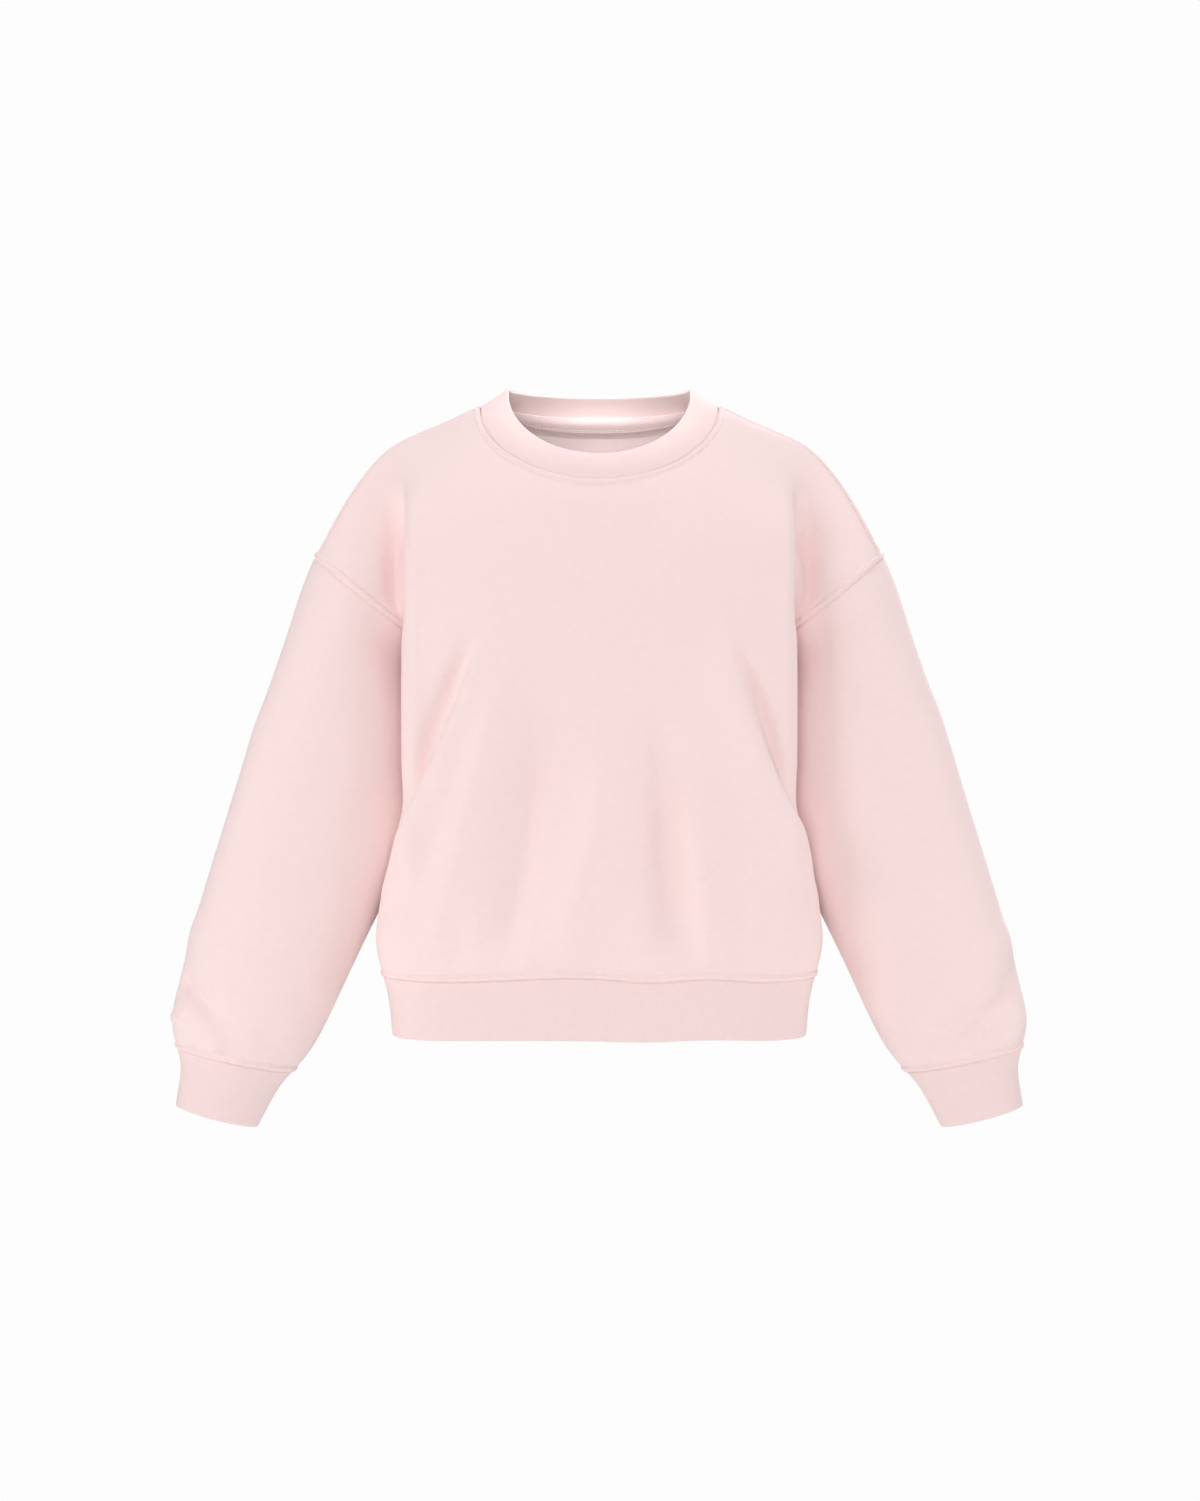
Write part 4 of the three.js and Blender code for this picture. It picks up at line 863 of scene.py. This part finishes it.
def fold_double(name, rows, lengths, thickness, seam):
    """Closes a ring of outer faces (rows from seam to edge) over its folded edge. "seam" is the edge that
    the first row is sewn to, and the strip turns in with it."""
    normals = ring_normals(rows)
    radius = thickness / 2
    lengths = np.asarray(lengths, float)
    reach = unit(rows[-1] - rows[-2])
    centre = rows[-1] - normals[-1] * radius
    arc = [centre + (normals[-1] * math.cos(a) + reach * math.sin(a)) * radius for a in np.radians(FOLD_ARC)]
    relief = (valley(lengths) / valley(0))[:, None, None] * (seam - rows[0])
    inner = (rows - normals * thickness)[::-1]
    points = np.concatenate([rows + relief, np.array(arc), inner, (rows + relief)[:1]])
    for row in points:
        row[-1] = row[0]
    around = chord_knots(rows[len(rows) // 2][None])[0]
    bend = lengths[-1] + math.pi * radius * FOLD_ARC / 180
    inner_lengths = lengths[-1] + math.pi * radius + (lengths[-1] - lengths[::-1])
    heights = np.concatenate([lengths, bend, inner_lengths, [inner_lengths[-1] + thickness]])
    cut = np.stack(np.broadcast_arrays(around[None, :], heights[:, None]), axis=-1)
    piece = drape(name, points, cut)
    piece.data.materials.append(rib_face)
    bpy.ops.object.mode_set(mode="EDIT")
    bpy.ops.mesh.select_all(action="SELECT")
    bpy.ops.mesh.normals_make_consistent(inside=False)
    bpy.ops.object.mode_set(mode="OBJECT")
    finish_faces(piece)
    return {"piece": piece, "rows": rows, "normals": normals, "width": around[-1], "length": lengths[-1] + radius}


def ring_of(front_row, back_row):
    """The front's row from left to right, then the back's from right to left, closed."""
    return np.concatenate([front_row, back_row[::-1][1:]])


# %% [markdown]
# The hem band goes on down the curves of the body. The folds of the body fade out in it, and its edge
# draws in.

# %% Hem band
HEM_WIDTH = 52
hem_steps = np.concatenate([SEAM_STEPS[:5], [2.2, 3.2], np.linspace(5, HEM_WIDTH - RIB / 2, 17)])


def hem_row(panel, cloth_made, way, drop):
    shares = cloth_made["grid"]["share"][0]
    points, _ = panel.at(np.full(len(shares), -drop), shares, 0.0)
    points[MIDDLE + 1:] *= MIRROR
    x = points[:, 0]
    seam = cloth_made["soft"][0] - cloth_made["grid"]["points"][0]
    fade = 1 - smooth(drop / HEM_CALM)
    points = points + seam * fade
    points[:, 2] += hem_wave(x, way) * 0.35 * (1 - fade) - abs(drop / HEM_WIDTH) * 0.9 * np.cos(x / 62) ** 2
    return points


hem_rows = np.array([
    ring_of(hem_row(front, front_cloth, -1, drop), hem_row(back, back_cloth, 1, drop)) for drop in hem_steps])
hem_seam = ring_of(front_cloth["points"][0], back_cloth["points"][0])
hem = fold_double("hem_band_cloth", hem_rows, hem_steps, RIB, hem_seam)

# %% [markdown]
# The cuffs narrow from the sleeve's width to the wrist.

# %% Cuffs
cuff_steps = np.concatenate([SEAM_STEPS[:5], [2.2, 3.2], np.linspace(5, cuff.length - RIB / 2, 19)])


def make_cuff(side):
    rows = on_side(cuff.at(turns[None, :], cuff_steps[:, None] / cuff.length), side)
    seed = 11 if side == "left" else 47
    gather = pucker(turns[None, :] + seed, cuff_steps[:, None], 13, 0.9)
    gather = gather * smooth(turns / 20)[None, :] * smooth((360 - turns) / 20)[None, :]
    rows = close_ring(close_ring(rows) + ring_normals(close_ring(rows)) * gather[..., None])
    return fold_double(f"cuff_cloth_{side}", rows, cuff_steps, RIB, sleeves[side]["points"][-1])


cuffs = {side: make_cuff(side) for side in ("left", "right")}

# %% [markdown]
# The collar stands up from the neck seam and leans in. It follows the same columns as the panels'
# necklines, first the front from left to right, then the back.

# %% Collar
COLLAR_WIDTH, COLLAR_SWELL = 30, 1.5
COLLAR_HALF, COLLAR_Y, COLLAR_Z = 83, 8, 16.5
COLLAR_FRONT, COLLAR_BACK, FRONT_FALL, BACK_FALL = 78, 42, 65, 2.8
neck_span = slice(MIDDLE - NECK_COLUMNS + 1, MIDDLE + NECK_COLUMNS)
neck_seam = ring_of(front_cloth["soft"][-1, neck_span], back_cloth["soft"][-1, neck_span])
is_front = np.arange(len(neck_seam)) < 2 * NECK_COLUMNS - 1
collar_steps = np.concatenate([SEAM_STEPS[:5], [2.2, 3.2], np.linspace(5, COLLAR_WIDTH - RIB / 2, 13)])


def collar_top():
    share = np.minimum(1, np.abs(neck_seam[:, 0]) / NECK_HALF)
    toward = np.sqrt(np.maximum(0, 1 - share**2))
    y = COLLAR_Y + toward * np.where(is_front, -COLLAR_FRONT, COLLAR_BACK)
    z = COLLAR_Z - toward * np.where(is_front, FRONT_FALL, BACK_FALL)
    return np.stack([np.sign(neck_seam[:, 0]) * COLLAR_HALF * share, y, z], axis=1)


collar_edge = collar_top()
outward = unit((neck_seam - [0, COLLAR_Y, 0]) * [1, 1, 0])
swell = COLLAR_SWELL * (1 - 2 * (neck_seam[:, :1] / NECK_HALF) ** 4)  # out at front and back, in at the sides
collar_rows = np.array([
    mix(neck_seam, collar_edge, share) + outward * swell * 4 * share * (1 - share)
    for share in collar_steps / COLLAR_WIDTH])
neck_edge = ring_of(front_cloth["points"][-1, neck_span], back_cloth["points"][-1, neck_span])
collar = fold_double("collar_cloth", close_ring(collar_rows), collar_steps, RIB, neck_edge)

# %% [markdown]
# The tape covers the neck seam inside the back. It is a narrow strip with a soft middle, sewn down
# along both edges, half of it on the collar and half on the back.

# %% Neck tape
TAPE_HALF, TAPE_ROWS, TAPE_SWELL, TAPE_LIFT = 6.0, 17, 0.3, 0.3
TAPE_NEEDLE = 4.7  # its stitch rows, from its middle
TAPE_SKIP = 3  # columns left free beside each shoulder seam


def tape_rows():
    columns = np.arange(neck_span.start + TAPE_SKIP, neck_span.stop - TAPE_SKIP)
    back_first = 2 * NECK_COLUMNS - 2
    on_collar = back_first + (neck_span.stop - 1 - columns)
    made = []
    for up, cover in ((5.0, RIB), (2.2, RIB)):
        step = np.abs(collar_steps - up).argmin()
        made.append(collar["rows"][step, on_collar] - collar["normals"][step, on_collar] * (cover + TAPE_LIFT))
    for away, cover in ((0, RIB), (2.8, 3.1), (6.0, 3.0)):  # it lies over the seam's allowance
        row = ROWS - 1 - np.abs(SEAM_STEPS - away).argmin()
        made.append(back_cloth["soft"][row, columns] - back_cloth["normals"][row, columns] * (cover + TAPE_LIFT))
    knots = np.array([-TAPE_HALF, -2.6, 0, 2.8, TAPE_HALF])
    ways = np.stack(made, axis=1)
    across = np.linspace(-TAPE_HALF, TAPE_HALF, TAPE_ROWS)
    placed = Curves(np.tile(knots, (len(columns), 1)), ways).at(np.tile(across, (len(columns), 1)))
    return placed.transpose(1, 0, 2), across


tape_points, tape_across = tape_rows()
tape_normals = -normals_of(tape_points)
tape_swell = TAPE_SWELL * (1 - (tape_across / TAPE_HALF) ** 2)
dips = 0.35 * np.exp(-(((np.abs(tape_across) - TAPE_NEEDLE) / 0.5) ** 2))
tape_points = tape_points + tape_normals * (tape_swell - dips + TAPE)[:, None, None]
tape_along = chord_knots(tape_points[TAPE_ROWS // 2][None])[0]
tape_cut = np.stack(np.broadcast_arrays(tape_along[None, :], tape_across[:, None]), axis=-1)
tape = drape("neck_tape_cloth", tape_points, tape_cut)
tape.data.materials.append(tape_face)
face_outwards(tape, tape_points, tape_normals)
thicken(tape, TAPE)
finish_faces(tape)

# %% [markdown]
# The stitches. One stitch is modelled once, as a small spindle of thread, and copied along each row.
# The rows are lines of the grid already, because the grid has a line wherever a needle went through.

# %% Stitches
STITCH, PITCH, THREAD, SINK = 2.5, 3.1, 0.33, 0.02
bpy.ops.object.select_all(action="DESELECT")
bpy.ops.mesh.primitive_uv_sphere_add(segments=6, ring_count=5, radius=1)
pattern_stitch = bpy.context.object
STITCH_POINTS = np.array([tuple(v.co) for v in pattern_stitch.data.vertices])[:, [2, 0, 1]]
STITCH_FACES = [tuple(face.vertices) for face in pattern_stitch.data.polygons]
bpy.data.objects.remove(pattern_stitch)


def stitches_on(path, normals):
    """The corners of every stitch along one path."""
    knots = chord_knots(path[None])[0]
    count = int((knots[-1] - STITCH) // PITCH)
    starts = np.arange(count) * PITCH + (knots[-1] - (count - 1) * PITCH - STITCH) / 2
    read = lambda field, s: np.stack([np.interp(s, knots, field[:, k]) for k in range(3)], axis=1)
    first, last = read(path, starts), read(path, starts + STITCH)
    along = unit(last - first)
    normal = read(normals, starts + STITCH / 2)
    normal = unit(normal - along * (normal * along).sum(axis=1, keepdims=True))
    beside = np.cross(normal, along)
    centre = read(path, starts + STITCH / 2) + normal * (THREAD * 0.45 - SINK)
    x, y, z = STITCH_POINTS.T
    return (centre[:, None] + along[:, None] * (x * STITCH / 2)[None, :, None]
            + beside[:, None] * (y * THREAD)[None, :, None] + normal[:, None] * (z * THREAD)[None, :, None])


def sew(name, rows):
    """All the stitches of a seam as one piece."""
    placed = np.concatenate([stitches_on(path, normals) for path, normals in rows])
    size = len(STITCH_POINTS)
    faces = [tuple(v + i * size for v in face) for i in range(len(placed)) for face in STITCH_FACES]
    mesh = bpy.data.meshes.new(name)
    mesh.from_pydata((placed * MM).reshape(-1, 3).tolist(), [], faces)
    mesh.materials.append(sewing_thread)
    piece = bpy.data.objects.new(name, mesh)
    bpy.context.scene.collection.objects.link(piece)
    bpy.context.view_layer.objects.active = piece
    bpy.ops.object.select_all(action="DESELECT")
    piece.select_set(True)
    bpy.ops.object.mode_set(mode="EDIT")
    bpy.ops.mesh.select_all(action="SELECT")
    bpy.ops.mesh.normals_make_consistent(inside=False)
    bpy.ops.object.mode_set(mode="OBJECT")
    finish_faces(piece)
    return piece


def both(field, pick):
    return pick(front_cloth[field]), pick(back_cloth[field])


needle_steps = [int(np.abs(SEAM_STEPS - needle).argmin()) for needle in NEEDLES]
hem_rows_sewn = [
    (ring_of(*both("points", lambda g: g[step])), ring_of(*both("normals", lambda g: g[step])))
    for step in needle_steps]
neck_rows_sewn = [
    (ring_of(*both("points", lambda g: g[-1 - step, neck_span])),
     ring_of(*both("normals", lambda g: g[-1 - step, neck_span]))) for step in needle_steps]
shoulder_rows_sewn = []
for step in needle_steps:
    for span in (slice(8, neck_span.start - 6), slice(neck_span.stop + 6, COLUMNS - 8)):
        shoulder_rows_sewn.append((back_cloth["points"][-1 - step, span], back_cloth["normals"][-1 - step, span]))
sewn = [sew("stitches_hem", hem_rows_sewn), sew("stitches_neck", neck_rows_sewn),
        sew("stitches_shoulders", shoulder_rows_sewn)]
armhole_start = int(np.abs(front_grid["height"][:, 0] - UNDERARM - ARMPIT * 1.3).argmin())
for side in ("left", "right"):
    rows = []
    for step in needle_steps:
        column = step if side == "left" else COLUMNS - 1 - step
        for made in (front_cloth, back_cloth):
            rows.append((made["points"][armhole_start:-4, column], made["normals"][armhole_start:-4, column]))
    sewn.append(sew(f"stitches_armhole_{side}", rows))
    made = sleeves[side]
    rows = [(made["points"][-1 - step], made["normals"][-1 - step]) for step in needle_steps]
    sewn.append(sew(f"stitches_cuff_{side}", rows))
tape_needles = [np.abs(tape_across - edge).argmin() for edge in (-TAPE_NEEDLE, TAPE_NEEDLE)]
sewn.append(sew("stitches_tape", [(tape_points[row], tape_normals[row]) for row in tape_needles]))

# %% [markdown]
# Every piece rides on the one body of the model and stands for its solid, which is hidden. The folded
# strips print the width and length they were cut to, in metres.

# %% What each piece stands for
for made, solid in ((front_cloth, "front"), (back_cloth, "back")):
    piece, cut = made["piece"], made["cut"]
    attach(piece, "root")
    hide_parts(solid)
for side in ("left", "right"):
    piece, cut = sleeves[side]["piece"], sleeves[side]["cut"]
    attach(piece, "root")
    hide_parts(f"sleeve_{side}")
strips = [(hem, "hem_band", ["front_cloth", "back_cloth"]), (collar, "collar", ["front_cloth", "back_cloth"])]
strips += [(cuffs[side], f"cuff_{side}", [f"sleeve_cloth_{side}"]) for side in ("left", "right")]
for made, solid, held_by in strips:
    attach(made["piece"], "root")
    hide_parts(solid)
    print(solid, round(made["width"] * MM, 3), round(made["length"] * MM, 3))
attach(tape, "root")
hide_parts("neck_tape")
for piece in sewn:
    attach(piece, "root")

# %% [markdown]
# A plain studio: a pale floor at the height where a standing figure's feet would be, even light from all
# around, soft lights from the front, the upper left, both sides and above, one behind for the back, and
# a narrow one that reaches through the open neck to the tape inside.

# %% Floor, light and camera
FLOOR_Z = -1.42
bpy.ops.object.select_all(action="DESELECT")
bpy.ops.mesh.primitive_circle_add(vertices=96, radius=1.9, fill_type="NGON", location=(0, 0, FLOOR_Z))
floor = bpy.context.object
floor.name = "floor"
paper = bpy.data.materials.new("pale_paper")
paper.use_nodes = True
paper.node_tree.nodes["Principled BSDF"].inputs["Base Color"].default_value = (0.93, 0.93, 0.93, 1)
paper.node_tree.nodes["Principled BSDF"].inputs["Roughness"].default_value = 0.9
floor.data.materials.append(paper)

AIM = Vector((0, 0, -0.31))


def soft_light(name, place, size, power):
    bpy.ops.object.light_add(type="AREA", location=place)
    lamp = bpy.context.object
    lamp.name = name
    lamp.data.shape = "DISK"
    lamp.data.size = size
    lamp.data.energy = power
    lamp.rotation_euler = (AIM - Vector(place)).to_track_quat("-Z", "Y").to_euler()
    return lamp


soft_light("front", (-0.2, -3.4, -0.25), 1.5, 37)
soft_light("key", (-2.6, -2.2, 1.2), 1.3, 31)
soft_light("fill", (3.0, -1.8, 0.6), 1.6, 20)
soft_light("left", (-3.2, -0.6, 0.3), 1.5, 23)
soft_light("right", (3.2, -0.6, 0.3), 1.5, 19)
soft_light("top", (0.6, 0.3, 2.7), 1.8, 34)
soft_light("rear", (0.8, 3.0, 1.4), 1.8, 80)

bpy.ops.object.light_add(type="SPOT", location=(0, -1.12, 0.90))  # reaches the inside of the back neck
neck_lamp = bpy.context.object
neck_lamp.name = "neck"
neck_lamp.data.spot_size, neck_lamp.data.spot_blend = math.radians(6.5), 0.5
neck_lamp.data.shadow_soft_size = 0.06
neck_lamp.data.energy = 88
neck_lamp.rotation_euler = (Vector((0, 0.06, -0.02)) - neck_lamp.location).to_track_quat("-Z", "Y").to_euler()

world = bpy.data.worlds.new("studio")
bpy.context.scene.world = world
world.use_nodes = True
tree = world.node_tree
light_part = tree.nodes["Background"]
light_part.inputs["Color"].default_value = (1, 1, 1, 1)
light_part.inputs["Strength"].default_value = 0.26
seen_part = node(tree, "ShaderNodeBackground", inputs={"Color": (1, 1, 1, 1), "Strength": 0.98})
sight = tree.nodes.new("ShaderNodeLightPath")
blend = tree.nodes.new("ShaderNodeMixShader")
tree.links.new(sight.outputs["Is Camera Ray"], blend.inputs[0])
tree.links.new(light_part.outputs[0], blend.inputs[1])
tree.links.new(seen_part, blend.inputs[2])
tree.links.new(blend.outputs[0], tree.nodes["World Output"].inputs["Surface"])
bpy.context.scene.view_settings.view_transform = "Standard"

bpy.ops.object.camera_add(location=(0.0006, -3.0, -0.3105), rotation=(math.pi / 2, 0, 0))
camera = bpy.context.object
camera.data.sensor_width = 36
camera.data.lens = 79.95
bpy.context.scene.camera = camera
